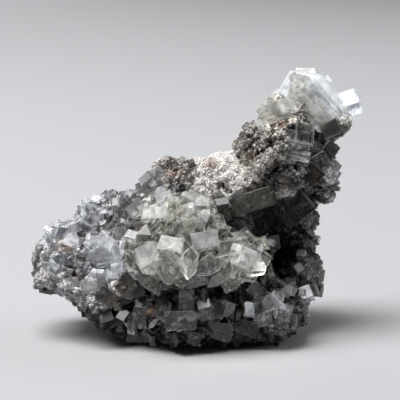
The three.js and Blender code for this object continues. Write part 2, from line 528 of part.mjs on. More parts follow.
// The small crystals that are clear of the clusters and of the ground are one with the rock.
const clusters = joined(bodies);
const small = strewnCrystals(bareMesh)
  .filter((one) => one.middle.z > SMALL_FROM)
  .filter((one) => crystalSolid(one, CONTACT_GAP).intersect(clusters).isEmpty());
const overgrown = joined([bare, ...small.map((one) => crystalSolid(one))]);
addPiece("rock", bodiesOf(overgrown)[0], crust);

export default specimen;
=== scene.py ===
"""A barite specimen: a rough rock with a leaning arm, overgrown with blocky crystals.

Shapes are worked out in millimetres, in the solids' own frame (+Z up, +X from the nose to the arm, the
front faces -Y), and are turned into metres when a mesh is made.
"""

import math

import bmesh
import bpy
import numpy as np
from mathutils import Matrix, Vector
from mathutils.bvhtree import BVHTree

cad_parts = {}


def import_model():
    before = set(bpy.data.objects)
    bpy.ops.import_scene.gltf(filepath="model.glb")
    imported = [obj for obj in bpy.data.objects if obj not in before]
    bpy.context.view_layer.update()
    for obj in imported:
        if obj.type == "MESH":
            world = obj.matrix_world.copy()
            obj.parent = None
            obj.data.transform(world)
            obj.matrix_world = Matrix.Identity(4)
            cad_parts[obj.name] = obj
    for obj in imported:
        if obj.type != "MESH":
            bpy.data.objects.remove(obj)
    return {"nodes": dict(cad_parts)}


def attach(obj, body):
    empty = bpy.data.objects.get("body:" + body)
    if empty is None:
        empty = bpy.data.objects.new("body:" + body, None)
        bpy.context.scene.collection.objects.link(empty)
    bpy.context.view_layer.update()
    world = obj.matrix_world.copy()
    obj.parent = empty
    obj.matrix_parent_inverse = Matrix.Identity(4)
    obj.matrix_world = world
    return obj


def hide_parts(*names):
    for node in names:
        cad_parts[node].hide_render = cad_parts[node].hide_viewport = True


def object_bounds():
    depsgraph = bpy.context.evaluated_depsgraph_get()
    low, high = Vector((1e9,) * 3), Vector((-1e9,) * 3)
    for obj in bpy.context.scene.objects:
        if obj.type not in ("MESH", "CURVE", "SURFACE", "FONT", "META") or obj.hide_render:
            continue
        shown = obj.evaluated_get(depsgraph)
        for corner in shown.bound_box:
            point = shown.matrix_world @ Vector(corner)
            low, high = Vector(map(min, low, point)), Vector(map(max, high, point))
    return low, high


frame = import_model()
SOLIDS_BOX = [list(corner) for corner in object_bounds()]
MM = 0.001

# ---- The sheet: places are named by where they show from the front ----

FRONT_TILT = math.radians(12)  # the sheet leans back by this much
SHEET_MIDDLE = np.array([1.0, 0.0, 37.0])
SHEET_UP = 41.0  # the height written on the sheet at its middle
EYE_DISTANCE = 420.0
RIGHT = np.array([1.0, 0.0, 0.0])
UP = np.array([0.0, math.sin(FRONT_TILT), math.cos(FRONT_TILT)])
OUT = np.array([0.0, -math.cos(FRONT_TILT), math.sin(FRONT_TILT)])
EYE = SHEET_MIDDLE + EYE_DISTANCE * OUT


def seen_at(points):
    """Across and up on the sheet: the line from the eye through each point, carried on to the sheet."""
    away = points - EYE
    stretch = -EYE_DISTANCE / (away @ OUT)
    return SHEET_MIDDLE[0] + (away @ RIGHT) * stretch, SHEET_UP + (away @ UP) * stretch


def on_sheet(across, up):
    """The place in space that these numbers name on the sheet."""
    return SHEET_MIDDLE + (across - SHEET_MIDDLE[0]) * RIGHT + (up - SHEET_UP) * UP


def unit(vectors):
    """Vectors of length 1 in the same directions."""
    return vectors / np.maximum(np.linalg.norm(vectors, axis=-1, keepdims=True), 1e-9)


# ---- Noise, on whole arrays of points ----


def lot(cells, seed):
    """A number from 0 to 1 for each cell of a grid: its three whole numbers are multiplied by large odd
    numbers, mixed by exclusive or, and shifted down."""
    c = cells.astype(np.int64)
    n = (c[..., 0] * 73856093) ^ (c[..., 1] * 19349663) ^ (c[..., 2] * 83492791) ^ (seed * 1013904223)
    n = ((n ^ (n >> 13)) * 1274126177) & 0xFFFFFFFF
    n = ((n ^ (n >> 16)) * 2246822519) & 0xFFFFFFFF
    return ((n ^ (n >> 15)) & 0xFFFFFF) / 0xFFFFFF


def ramp(value, low, high):
    """0 below low, 1 above high, and a smooth step between them."""
    t = np.clip((value - low) / (high - low), 0, 1)
    return t * t * (3 - 2 * t)


def waves(points, length, seed=0):
    """Smooth noise from -1 to 1: the lots of the eight corners of a point's grid cell, of this length,
    mixed by the smooth step of its place in the cell."""
    scaled = points / length
    cell = np.floor(scaled)
    part = scaled - cell
    part = part * part * (3 - 2 * part)
    total = np.zeros(len(points))
    for corner in np.ndindex(2, 2, 2):
        share = np.prod(np.where(np.array(corner) == 1, part, 1 - part), axis=1)
        total += share * lot(cell + np.array(corner), seed)
    return 2 * total - 1


def rough(points, length, seed=0, layers=3):
    """Waves with finer ones on top, each half as long and half as high."""
    return sum(waves(points, length / 2**i, seed + i) / 2**i for i in range(layers))


def stirred(points, reach, length, seed):
    """Points moved to and fro by waves, so that a grid on them doesn't show."""
    return points + reach * waves(points, length, seed)[:, None]


def nearest_seed(points, pitch, seed):
    """One seed lies at random in each cube of a grid. Returns the distance of each point to its nearest
    seed in pitches, the way there, and the cube of that seed."""
    scaled = points / pitch
    cell = np.floor(scaled)
    best = np.full(len(points), 9.0)  # farther than any seed can be
    way = np.zeros_like(points)
    owner = np.zeros_like(points)
    for step in np.ndindex(3, 3, 3):
        cube = cell + np.array(step) - 1
        place = cube + np.stack([lot(cube, seed + i) for i in range(3)], axis=1)
        off = scaled - place
        far = np.linalg.norm(off, axis=1)
        closer = far < best
        best = np.where(closer, far, best)
        way[closer] = off[closer]
        owner[closer] = cube[closer]
    return best, way, owner


def dome(far, reach):
    """A round knob: half a circle of this reach over the distance from its middle."""
    return np.sqrt(np.clip(1 - (far / reach) ** 2, 0, 1))


def knobs(points, pitch, seed, reach, low, more):
    """The height of round knobs, one for each cube of a grid: a dome over the distance from its seed,
    times a height drawn between low and low + more."""
    far, _, owner = nearest_seed(points, pitch, seed)
    return dome(far, reach) * (low + more * lot(owner, seed + 6))


# ---- Meshes ----


def placed(name, data):
    """A new object of the scene, at the origin."""
    thing = bpy.data.objects.new(name, data)
    bpy.context.scene.collection.objects.link(thing)
    return thing


def dressed(name, mesh, replaced=()):
    """A mesh as a piece that rides on the part, and that may replace nodes of it."""
    piece = placed(name, mesh)
    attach(piece, "root")
    if replaced:
        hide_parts(*replaced)
    return piece


def new_piece(name, points, faces, materials, replaced=()):
    """A piece of these points, in millimetres. Points below the floor are raised to it."""
    points[..., 2] = np.maximum(points[..., 2], 0.0)
    mesh = bpy.data.meshes.new(name)
    mesh.from_pydata(points.reshape(-1, 3) * MM, [], faces)
    for material in materials:
        mesh.materials.append(material)
    return dressed(name, mesh, replaced)


def write_attribute(mesh, name, kind, values, domain="POINT"):
    """Numbers, vectors or colours that a mesh keeps for its material, one for each point or face."""
    if kind == "FLOAT_COLOR":
        values = np.concatenate([values, np.ones((len(values), 1))], axis=1)
    field = {"FLOAT": "value", "FLOAT_VECTOR": "vector", "FLOAT_COLOR": "color"}[kind]
    attribute = mesh.attributes.new(name, kind, domain)
    attribute.data.foreach_set(field, np.asarray(values, np.float32).ravel())


def copies(points, faces, count):
    """The faces of this many copies of a shape whose points come one copy after another."""
    return (np.arange(count)[:, None, None] * points + np.array(faces)[None]).reshape(-1, len(faces[0]))


# ---- Materials ----


class Nodes:
    """A material that is being wired."""

    def __init__(self, name):
        self.material = bpy.data.materials.new(name)
        self.material.use_nodes = True
        self.tree = self.material.node_tree
        self.surface = self.tree.nodes["Principled BSDF"]
        self.output = self.tree.nodes["Material Output"]

    def feed(self, socket, value):
        """Wires a node's output to a socket, or sets the socket to a plain value."""
        if isinstance(value, bpy.types.NodeSocket):
            self.tree.links.new(value, socket)
        else:
            socket.default_value = value

    def add(self, kind, inputs=None, **settings):
        """A node of this kind, with what it is fed and how it is set."""
        node = self.tree.nodes.new("ShaderNode" + kind)
        for key, value in settings.items():
            setattr(node, key, value)
        for key, value in (inputs or {}).items():
            self.feed(node.inputs[key], value)
        return node

    def set(self, **values):
        """Wires or sets sockets of the surface's shader."""
        for key, value in values.items():
            self.feed(self.surface.inputs[key.replace("_", " ")], value)

    def place(self):
        """Object coordinates in millimetres."""
        return self.stretched(self.add("TexCoord").outputs["Object"], (1000, 1000, 1000))

    def stretched(self, vector, scale):
        return self.add("Mapping", {"Vector": vector, "Scale": scale}).outputs["Vector"]

    def stored(self, name, output="Fac"):
        """What the mesh keeps under this name."""
        return self.add("Attribute", attribute_name=name).outputs[output]

    def noise(self, vector, scale, detail=3.0, roughness=0.55):
        inputs = {"Vector": vector, "Scale": scale, "Detail": detail, "Roughness": roughness}
        return self.add("TexNoise", inputs).outputs["Fac"]

    def steps(self, value, *stops):
        """A colour ramp through (position, colour), or through (position, level of grey)."""
        node = self.add("ValToRGB", {"Fac": value})
        elements = node.color_ramp.elements
        while len(elements) < len(stops):
            elements.new(0.5)
        for element, (position, colour) in zip(elements, stops):
            element.position = position
            element.color = (*colour, 1) if isinstance(colour, tuple) else (colour, colour, colour, 1)
        return node.outputs["Color"]

    def between(self, value, low, high):
        """0 to 1, turned into low to high."""
        return self.add("MapRange", {"Value": value, "To Min": low, "To Max": high}).outputs["Result"]

    def rising(self, value, low, high):
        """0 below low, 1 above high, and a straight line between them."""
        return self.add("MapRange", {"Value": value, "From Min": low, "From Max": high}).outputs["Result"]

    def math(self, operation, *values):
        return self.add("Math", dict(enumerate(values)), operation=operation).outputs[0]

    def mix(self, share, a, b, blend="MIX"):
        inputs = {"Factor": share, 6: a, 7: b}  # 6 and 7 are its two colours
        return self.add("Mix", inputs, data_type="RGBA", blend_type=blend).outputs[2]

    def times(self, a, b):
        return self.mix(1.0, a, b, "MULTIPLY")

    def bump(self, height, distance):
        return self.add("Bump", {"Height": height, "Distance": distance * MM}).outputs["Normal"]


def crust_finish():
    """The rock: its tint comes with the mesh, painted shade and all; it is darkened further in the dips,
    pits and gaps as painted shade, lightened on the tops as a painted highlight, and speckled by fine noise.
    """
    n = Nodes("crust")
    place = n.place()
    speckles = ((0.3, (0.5, 0.48, 0.46)), (0.52, (1, 1, 1)), (0.75, (1.3, 1.28, 1.25)))
    tint = n.times(n.stored("tint", "Color"), n.steps(n.noise(place, 1.3, 4), *speckles))
    # Painted shade in the dips, pits and gaps between knobs, and a painted highlight on the tops, read from
    # the mesh.
    shades = ((0.05, (0.05, 0.038, 0.028)), (0.42, (0.42, 0.385, 0.34)), (0.8, (1.12, 1.12, 1.12)))
    tint = n.times(tint, n.steps(n.stored("painted_light"), *shades))
    n.set(Base_Color=tint, Roughness=n.between(n.noise(place, 0.9), 0.3, 0.95))
    n.set(IOR=1.6, Normal=n.bump(n.noise(place, 3.2, 4), 0.18))
    return n.material


def grain_finish():
    """Sugary grains: dull white to beige, each with a tone of its own, which brings along the crust's
    painted shade.
    """
    n = Nodes("sugary_grains")
    n.set(Base_Color=n.stored("tone", "Color"), Roughness=0.5, IOR=1.6)
    return n.material


BARITE_IOR = 1.64


def barite_finish(name, clear, milky, passes, haze, absorbed, density, shine=0.5, broken=1.0):
    """Barite: see-through, clouded inside, with some faces polished and others frosted. clear and milky are
    its tints, passes is the share of light that it lets through, haze its least roughness, absorbed and
    density what it takes from the light inside, and broken how much its blocks differ. Clouds are read in
    each crystal's own frame, in millimetres; the frost of each face is a number of its own, and where it is
    high it whitens the tint, which on the faces turned to the lamps and on the cut edges is a painted
    highlight."""
    n = Nodes(name)
    own = n.stored("own", "Vector")
    frost_and_highlight = n.stored("frost_and_highlight")
    cloudy = n.math("MULTIPLY_ADD", n.stored("tone"), 0.7, n.noise(own, 0.5, 4, 0.6))
    streaks = n.noise(n.stretched(own, (0.3, 1.5, 1.5)), 1.0, 2)
    blocks = n.add("TexVoronoi", {"Vector": own, "Scale": 0.55}, distance="CHEBYCHEV").outputs["Color"]
    veils = n.rising(n.noise(own, 0.75, 5, 0.7), 0.57, 0.7)

    tint = n.steps(cloudy, (0.35, clear), (1.0, milky))
    tint = n.times(tint, n.steps(streaks, (0.38, 0.68), (0.6, 1.1)))
    levels = ((0.2, 1 - 0.45 * broken), (0.5, 1 - 0.05 * broken), (0.8, 1 + 0.4 * broken))
    tint = n.times(tint, n.steps(blocks, *levels))
    # Frost whitens the tint: on frosted faces as their own colour, on the faces turned to the lamps and on
    # the cut edges as a painted highlight.
    frost_and_highlight_white = tuple(min(1.15 * sum(milky) / 3 * bluish, 1) for bluish in (0.965, 0.995, 1.04))
    tint = n.mix(n.rising(frost_and_highlight, 0.15, 0.6), tint, (*frost_and_highlight_white, 1))
    tint = n.mix(n.math("MULTIPLY", veils, 0.7), tint, (*(value**0.4 for value in milky), 1))
    n.set(Base_Color=n.times(tint, n.steps(blocks, (0.2, 0.78), (0.6, 1.0))))

    scuffs = n.between(n.noise(own, 0.8, 2), haze, 2.5 * haze)
    scuffs = n.math("ADD", scuffs, n.between(blocks, -0.03, 0.09))
    scuffs = n.math("MULTIPLY_ADD", veils, 0.18, scuffs)
    n.set(Roughness=n.math("ADD", frost_and_highlight, scuffs))
    n.set(Transmission_Weight=n.between(veils, passes, 0.5 * passes))
    n.set(IOR=BARITE_IOR, Specular_IOR_Level=shine)
    volume = n.add("VolumeAbsorption", {"Color": (*absorbed, 1), "Density": density})
    n.feed(n.output.inputs["Volume"], volume.outputs["Volume"])
    return n.material


def druse_finish(name, passes, haze):
    """Small barite: it has the tint of the crust that it grows on, painted shade and all, brought along as a
    tone.
    """
    n = Nodes(name)
    clouds = n.steps(n.noise(n.stored("own", "Vector"), 0.9, 3), (0.35, 0.75), (0.7, 1.2))
    n.set(Base_Color=n.times(n.stored("tint", "Color"), clouds))
    n.set(Roughness=n.math("ADD", n.stored("frost_and_highlight"), haze), IOR=BARITE_IOR, Transmission_Weight=passes)
    return n.material


def barites(*looks):
    """The finishes of one kind of barite."""
    return [barite_finish(*look) for look in looks]


CRUST = crust_finish()
GRAINS = grain_finish()
# Kinds of barite, each with a clear finish, a milky one, and some with a third. In each line: the tints
# where clear and where clouded, passes, haze, absorbed, density, and shine and broken where they differ.
WHITE = barites(
    ("white_clear", (0.64, 0.67, 0.72), (0.83, 0.86, 0.91), 0.75, 0.04, (0.7, 0.74, 0.8), 30, 0.5, 0.4),
    ("white_milky", (0.67, 0.7, 0.75), (0.85, 0.88, 0.935), 0.36, 0.08, (0.7, 0.74, 0.8), 30, 0.5, 0.4),
    ("white_cloudy", (0.61, 0.61, 0.57), (0.81, 0.815, 0.79), 0.28, 0.12, (0.7, 0.7, 0.64), 40, 0.5, 0.4),
)
CREAM = barites(
    ("cream_clear", (0.6, 0.592, 0.505), (0.9, 0.905, 0.865), 0.92, 0.03, (0.68, 0.68, 0.59), 60),
    ("cream_milky", (0.47, 0.457, 0.388), (0.82, 0.82, 0.775), 0.75, 0.08, (0.68, 0.68, 0.59), 60),
)
GREY = barites(
    ("grey_clear", (0.5, 0.475, 0.435), (0.78, 0.775, 0.765), 1.0, 0.02, (0.46, 0.445, 0.42), 420, 0.18),
    ("grey_milky", (0.11, 0.095, 0.077), (0.25, 0.232, 0.21), 0.95, 0.04, (0.48, 0.44, 0.39), 520, 0.18),
)
BROWN = barites(
    ("brown_clear", (0.28, 0.235, 0.18), (0.46, 0.42, 0.37), 0.96, 0.03, (0.46, 0.39, 0.3), 280, 0.3),
    ("brown_milky", (0.08, 0.066, 0.05), (0.2, 0.175, 0.15), 0.88, 0.06, (0.46, 0.39, 0.3), 400, 0.2),
    ("olive_clear", (0.34, 0.32, 0.25), (0.6, 0.58, 0.5), 0.93, 0.03, (0.52, 0.49, 0.38), 180),
)
SLOPE = barites(
    ("slope_clear", (0.4, 0.395, 0.375), (0.7, 0.71, 0.73), 0.93, 0.04, (0.56, 0.56, 0.565), 150),
    ("slope_milky", (0.2, 0.195, 0.185), (0.48, 0.485, 0.5), 0.78, 0.08, (0.56, 0.56, 0.565), 150),
)
ICE = barites(
    ("ice_clear", (0.74, 0.77, 0.84), (0.93, 0.95, 0.99), 0.86, 0.03, (0.7, 0.72, 0.77), 40),
    ("ice_milky", (0.57, 0.595, 0.66), (0.89, 0.915, 0.97), 0.52, 0.06, (0.7, 0.72, 0.77), 40),
)
DRUSE = [druse_finish("small_clear", 0.7, 0.12), druse_finish("small_dull", 0.25, 0.28)]

# ---- The rock ----

VOXEL = 0.46  # size of the rock's facets
ROCK_NODE = frame["nodes"]["rock"]

# Base colours of the crust; the last is painted shade, for the lower left where it curves under.
BEIGE = (0.82, 0.798, 0.76)
GREYISH = (0.5, 0.49, 0.465)
SILVER = (0.69, 0.685, 0.68)
PAINTED_SHADE = (0.08, 0.075, 0.069)

# Kinds of surface on the front: the corners of each on the sheet, and its colour. The colours of the recess,
# slot, hole, foot, centre, wall, shade and lower left are painted shade, dark where the rock lies in hollows
# and under the crystals and overhangs.
ZONES = {
    "sugar": ("-6.5 40.3, 3 41.8, 8 42, 12 43.6, 17 45.4, 17.5 48, 14 51, 12.5 57, -2 57, -1 53, 0 48.5, "
        "-3 44", BEIGE),
    "arm": ("14 51, 17.5 48, 17 45.4, 22 44, 28 44.2, 34 40.5, 42 40, 46 60, 40 67, 28 71, 15 68, 9 60, "
        "12.5 55.5", (0.32, 0.302, 0.272)),
    "wall": ("31 40.5, 40 40.5, 40 14, 31 14.5, 27 17, 26 22, 27.5 30", (0.13, 0.127, 0.124)),
    "recess": ("17 36, 27 35, 31 32, 30 24, 30 17, 21 15.5, 18.5 20, 17 26", (0.008, 0.007, 0.006)),
    "left": ("-52 36, -22 48, -18 42, -17 30, -19 20, -17 14.5, -24 10, -32 9.5, -38 13, -52 19", SILVER),
    "ridge": ("-18 42, -6.5 40.3, -3 44, 0 48.5, -1 53, -2 58, -20 56", (0.33, 0.31, 0.3)),
    "centre": ("-20 33, -14 37, -6.5 40.3, 3 41.8, 8 42, 12 40, 12 32, 20 27, 23 20, 12 16.5, 0 16, -12 14, "
        "-18 18", (0.07, 0.061, 0.048)),
    "foot": ("-24 12, -18 18, -12 14, 0 16, 12 16.5, 23 17, 34 15, 35 0, 20 -3, -12 -4, "
        "-24 3", (0.02, 0.015, 0.011)),
    "foot_right": ("17 17.5, 34 17, 35 3, 24 2, 18 8", (0.2, 0.2, 0.205)),
    "slot": ("0 17.8, 5 18.2, 12 17.6, 15.5 16, 15 12.4, 9 11.4, 3 12, 0 14", (0.01, 0.009, 0.008)),
    "hole": ("-20.4 37.6, -14 37.4, -13.8 31.4, -19.8 30.8", (0.02, 0.018, 0.016)),
    "edge": ("35 50, 38 53, 42 50, 41 37, 36.5 37.5, 36 42", (0.6, 0.6, 0.61)),
    "knob": ("38.5 66, 46 65, 45 57, 40 57.5, 39.5 62", (0.6, 0.585, 0.55)),
    "rust": ("-15 14.6, -10.4 15, -9.6 8.6, -12 7.2, -15 9", (0.2, 0.125, 0.045)),
    "cube_bed": ("33 63, 37 65, 41 62, 40 57.6, 34 57", (0.07, 0.06, 0.045)),
    "shade": ("24 58, 30 52, 36 54, 40 57, 35 48, 35 41, 30 41, 24 46", (0.16, 0.155, 0.15)),
    "lower_left": ("-52 20, -40 15.5, -34 11.5, -24 11.5, -22 3, -12 -4, -52 -4", PAINTED_SHADE),
}

# Stains: across, up, reach across and up, and colour.
RUST = (0.11, 0.05, 0.02)
OLIVE = (0.26, 0.22, 0.12)
STAINS = [
    (-13, 12, 2.6, 2.6, RUST),
    (24, 62.4, 2.0, 1.2, RUST),
    (34.4, 60.6, 1.4, 2.4, (0.16, 0.12, 0.06)),
    (-6, 51.4, 5.5, 2.4, (0.6, 0.54, 0.48)),
    (-5.5, 48.6, 3.0, 1.3, (0.33, 0.24, 0.2)),
    (4, 51, 1.6, 1.4, (0.38, 0.27, 0.22)),
    (-15, 27.4, 3.2, 1.0, OLIVE),
    (-6, 34, 1.2, 2.0, OLIVE),
    (15, 53, 2.2, 3.2, (0.2, 0.17, 0.14)),
    (-36, 27.6, 2.0, 1.3, (0.3, 0.22, 0.16)),
    (-33, 19.6, 3.4, 1.2, (0.28, 0.2, 0.15)),
    (0, 15.5, 3.0, 2.0, (0.2, 0.12, 0.07)),
]
BROWNISH = (0.36, 0.28, 0.21)  # faint patches all over


def merged_copy(node):
    """A node's triangles, joined at their corners, as a new mesh."""
    work = bmesh.new()
    work.from_mesh(node.data)
    bmesh.ops.remove_doubles(work, verts=work.verts, dist=1e-6)
    mesh = bpy.data.meshes.new("merged")
    work.to_mesh(mesh)
    work.free()
    return mesh


def remeshed(mesh):
    """The same form, on an even grid of facets."""
    work = placed("work", mesh)
    modifier = work.modifiers.new("grid", "REMESH")
    modifier.mode = "VOXEL"
    modifier.voxel_size = VOXEL * MM
    result = bpy.data.meshes.new_from_object(work.evaluated_get(bpy.context.evaluated_depsgraph_get()))
    bpy.data.objects.remove(work)
    return result


def read(items, field, width, kind=float):
    """One field of a mesh's points, edges or faces, as an array of this many columns."""
    values = np.zeros(len(items) * width, kind)
    items.foreach_get(field, values)
    return values.reshape(-1, width)


def points_of(mesh):
    """A mesh's points in millimetres."""
    return read(mesh.vertices, "co", 3) / MM


def normals_of(mesh):
    return read(mesh.vertex_normals, "vector", 3)


def set_points(mesh, points):
    mesh.vertices.foreach_set("co", (points * MM).astype(np.float32).ravel())
    mesh.update()


def relaxed(points, ends, rounds):
    """Each point moved halfway to the mean of its neighbours, some rounds over."""
    a, b = ends.T
    count = np.bincount(np.concatenate([a, b]), minlength=len(points))[:, None]
    for _ in range(rounds):
        sums = [
            np.bincount(a, column[b], len(points)) + np.bincount(b, column[a], len(points))
            for column in points.T
        ]
        points = points + 0.5 * (np.stack(sums, axis=1) / count - points)
    return points


def inside(across, up, corners):
    """How far inside a polygon each place on the sheet lies: the distance to the nearest side, counted
    below 0 outside it. A place is inside where a line to its right crosses an odd number of sides."""
    corners = np.array([pair.split() for pair in corners.split(", ")], float)
    nearest = np.full(len(across), 1e9)
    odd = np.zeros(len(across), bool)
    for (x, y), (wide, high) in zip(corners, np.roll(corners, -1, axis=0) - corners):
        along = np.clip(((across - x) * wide + (up - y) * high) / (wide**2 + high**2), 0, 1)
        nearest = np.minimum(nearest, np.hypot(across - x - along * wide, up - y - along * high))
        crossed = (y > up) != (y + high > up)
        odd ^= crossed & (across < x + (up - y) * wide / (high if high else 1))
    return np.where(odd, nearest, -nearest)


def zones(points, normals):
    """How much of each kind of surface there is at each point, from 0 to 1."""
    across, up = seen_at(points)
    wander = 1.3 * waves(points, 5.0, 40)
    front = ramp(normals @ OUT, -0.35, 0.05)
    share = {}
    for name, (corners, _) in ZONES.items():
        share[name] = front * ramp(inside(across, up, corners) + wander, -0.7, 0.7)
    share["back"] = 1 - front
    return share


def parts_of(zone, **shares):
    """The sum of these shares of the kinds of surface."""
    return sum(share * zone[name] for name, share in shares.items())


def broken_flats(points):
    """Flats broken at all angles: each cell of a grid of random seeds has its own slope and height."""
    _, way, owner = nearest_seed(stirred(points, 0.6, 2.0, 9), 2.3, 21)
    slope = np.stack([lot(owner, 30 + i) - 0.5 for i in range(3)], axis=1)
    return np.sum(way * slope, axis=1) * 1.9 + (lot(owner, 35) - 0.5) * 0.9


def rock_piece():
    """The rock: an even grid of facets over the solid, its edges rounded off, then moved along its
    normals by swellings, broken flats, round knobs and pits, as its zones have them."""
    mesh = remeshed(merged_copy(ROCK_NODE))
    ends = read(mesh.edges, "vertices", 2, np.int64)
    points = relaxed(points_of(mesh), ends, 6)
    set_points(mesh, points)
    normals = normals_of(mesh)
    zone = zones(points, normals)
    grounded = ramp(points[:, 2], 0.3, 3.0)  # the flat that it rests on stays flat

    ridges = 1 - 2 * np.abs(rough(points, 7.0, 3))
    swell = 0.9 * rough(points, 9.0, 11) + 0.35 * ridges
    small_knobs = knobs(stirred(points, 0.3, 1.3, 5), 2.0, 51, 0.72, 0.4, 1.1)
    clumps = knobs(stirred(points, 0.5, 1.8, 15), 4.0, 151, 0.66, 0.3, 0.9)
    pits = ramp(-rough(points, 3.4, 61, 2), 0.25, 0.7)
    # Round knobs cover the arm and the wall, and pits the arm, the left and the ridge.
    knobby = np.clip(parts_of(zone, arm=1, wall=0.8, sugar=0.45, back=0.4), 0, 1)
    pitted = 0.35 + 0.65 * np.clip(parts_of(zone, arm=1, left=1, ridge=1, sugar=0.1), 0, 1)
    height = 0.8 * swell + 0.85 * np.clip(1 - knobby, 0.25, 1) * broken_flats(points)
    height = height + 1.25 * knobby * (small_knobs - 0.5)
    height = height + 2.0 * parts_of(zone, arm=1, wall=0.5, ridge=0.5) * (clumps - 0.45)
    height = np.clip(height - 2.1 * pits * pitted, -3.2, 1.3) * grounded
    points = points + height[:, None] * normals
    points[:, 2] = np.maximum(points[:, 2], 0.0)
    set_points(mesh, points)

    normals = normals_of(mesh)
    grit_far, _, _ = nearest_seed(points, 0.95, 71)
    grit = (dome(grit_far, 0.75) - 0.5) * 0.4 * (0.5 + 0.5 * knobby)
    points = points + (grit * grounded)[:, None] * normals
    points[:, 2] = np.maximum(points[:, 2], 0.0)
    set_points(mesh, points)

    # Painted shade and light for the tint: darker in dips, in pits and in the gaps between knobs, lighter on
    # the tops.
    hollow = np.sum((relaxed(points, ends, 14) - points) * normals, axis=1)  # above 0 in a dip
    gaps = parts_of(zone, arm=1, ridge=0.5) * (1 - ramp(clumps, 0.0, 0.45))
    painted_light = np.clip(0.62 - 0.95 * hollow - 0.45 * pits * pitted - 0.3 * gaps, 0, 1)
    tint = rock_tint(points, zone)
    mesh.name = "rock_surface"
    mesh.materials.clear()
    mesh.materials.append(CRUST)
    write_attribute(mesh, "tint", "FLOAT_COLOR", tint)
    write_attribute(mesh, "painted_light", "FLOAT", painted_light)
    return dressed("rock_surface", mesh, ["rock"]), points, zone, tint, painted_light


def sugar_patches(points):
    """1 in the patches of the back that sugary grains cover, 0 between them."""
    return ramp(rough(points, 15.0, 95), 0.0, 0.3)


def painted(tint, share, colour):
    """A tint with this share of a colour over it."""
    return tint + share[:, None] * (np.array(colour) - tint)


def rock_tint(points, zone):
    """The crust's colour: that of its zones, several of them painted shade, with stains that fade out from
    their middles.
    """
    across, up = seen_at(points)
    cloud = ramp(rough(points, 5.0, 81), -0.5, 0.5)[:, None]
    tint = np.array(GREYISH) * (1 - cloud) + np.array(SILVER) * cloud
    # The zone colours go on first, painted shade in the recess, slot, hole, foot, centre, wall, shade and
    # lower left.
    for name, (_, colour) in ZONES.items():
        tint = painted(tint, 0.9 * zone[name], colour)
    whitish = zone["left"] * (1 - zone["hole"]) * ramp(up + 0.35 * across, 12, 22)
    whitish = whitish * ramp(rough(points, 3.0, 85), -0.4, 0.3)
    tint = painted(tint, 0.65 * whitish, BEIGE)
    tint = painted(tint, 0.7 * zone["back"] * sugar_patches(points), BEIGE)
    for x, y, wide, high, colour in STAINS:
        share = np.exp(-(((across - x) / wide) ** 2) - ((up - y) / high) ** 2)
        tint = painted(tint, share * (1 - zone["back"]) * 0.9, colour)
    clumped = parts_of(zone, arm=1, wall=1, left=0.3, ridge=0.8, back=0.5)
    shades = 0.95 * ramp(rough(points, 4.4, 93, 2), -0.4, 0.4) - 0.6
    tint = tint * (1 + np.clip(clumped, 0, 1) * shades)[:, None]
    tint = painted(tint, ramp(rough(points, 4.0, 91), 0.35, 0.8) * 0.35, BROWNISH)
    return np.clip(tint, 0, 1)


# ---- Small things strewn on the rock ----


def strewn(mesh, weight, count, spacing, random):
    """Places on the mesh: triangles drawn by their area times their weight, a random spot in each, and
    one spot kept in each cube of the spacing. Returns the spots, the normals and the nearest points."""
    mesh.calc_loop_triangles()
    corners = read(mesh.loop_triangles, "vertices", 3, np.int64)
    points, normals = points_of(mesh), normals_of(mesh)
    a, b, c = points[corners[:, 0]], points[corners[:, 1]], points[corners[:, 2]]
    area = np.linalg.norm(np.cross(b - a, c - a), axis=1) / 2
    chance = area * weight[corners].mean(axis=1)
    chosen = random.choice(len(corners), count, p=chance / chance.sum())
    u, v = random.random((2, count, 1))
    flip = u + v > 1
    u, v = np.where(flip, 1 - u, u), np.where(flip, 1 - v, v)
    spots = a[chosen] + u * (b - a)[chosen] + v * (c - a)[chosen]
    cubes = np.floor(spots / spacing).astype(np.int64)
    _, first = np.unique(cubes, axis=0, return_index=True)
    chosen = chosen[first]
    return spots[first], unit(normals[corners[chosen]].mean(axis=1)), corners[chosen, 0]


def golden_ball():
    """The twelve points and twenty faces of an icosahedron, pointing outwards."""
    g = (1 + 5**0.5) / 2
    four = [(-1, g, 0), (1, g, 0), (-1, -g, 0), (1, -g, 0)]  # corners of an upright golden rectangle
    points = np.concatenate([np.roll(four, turn, axis=1) for turn in range(3)])
    faces = [(0, 11, 5), (0, 5, 1), (0, 1, 7), (0, 7, 10), (0, 10, 11), (1, 5, 9), (5, 11, 4), (11, 10, 2)]
    faces += [(10, 7, 6), (7, 1, 8), (3, 9, 4), (3, 4, 2), (3, 2, 6), (3, 6, 8), (3, 8, 9), (4, 9, 5)]
    faces += [(2, 4, 11), (6, 2, 10), (8, 6, 7), (9, 8, 1)]
    return unit(points), faces


def double_pyramid():
    """The six points and eight faces of an octahedron, pointing outwards."""
    points = [(1, 0, 0), (-1, 0, 0), (0, 1, 0), (0, -1, 0), (0, 0, 1), (0, 0, -1)]
    faces = [(0, 2, 4), (2, 1, 4), (1, 3, 4), (3, 0, 4), (2, 0, 5), (1, 2, 5), (3, 1, 5), (0, 3, 5)]
    return np.array(points, float), faces


def turned_frames(axis, random):
    """For each axis, three directions at right angles: the axis, and two turned round it at random."""
    other = unit(np.cross(axis, random.normal(size=axis.shape)))
    return np.stack([axis, other, np.cross(axis, other)], axis=1)


PROUD = 0.15  # how far a grain's middle stands off the crust, as a share of its radius


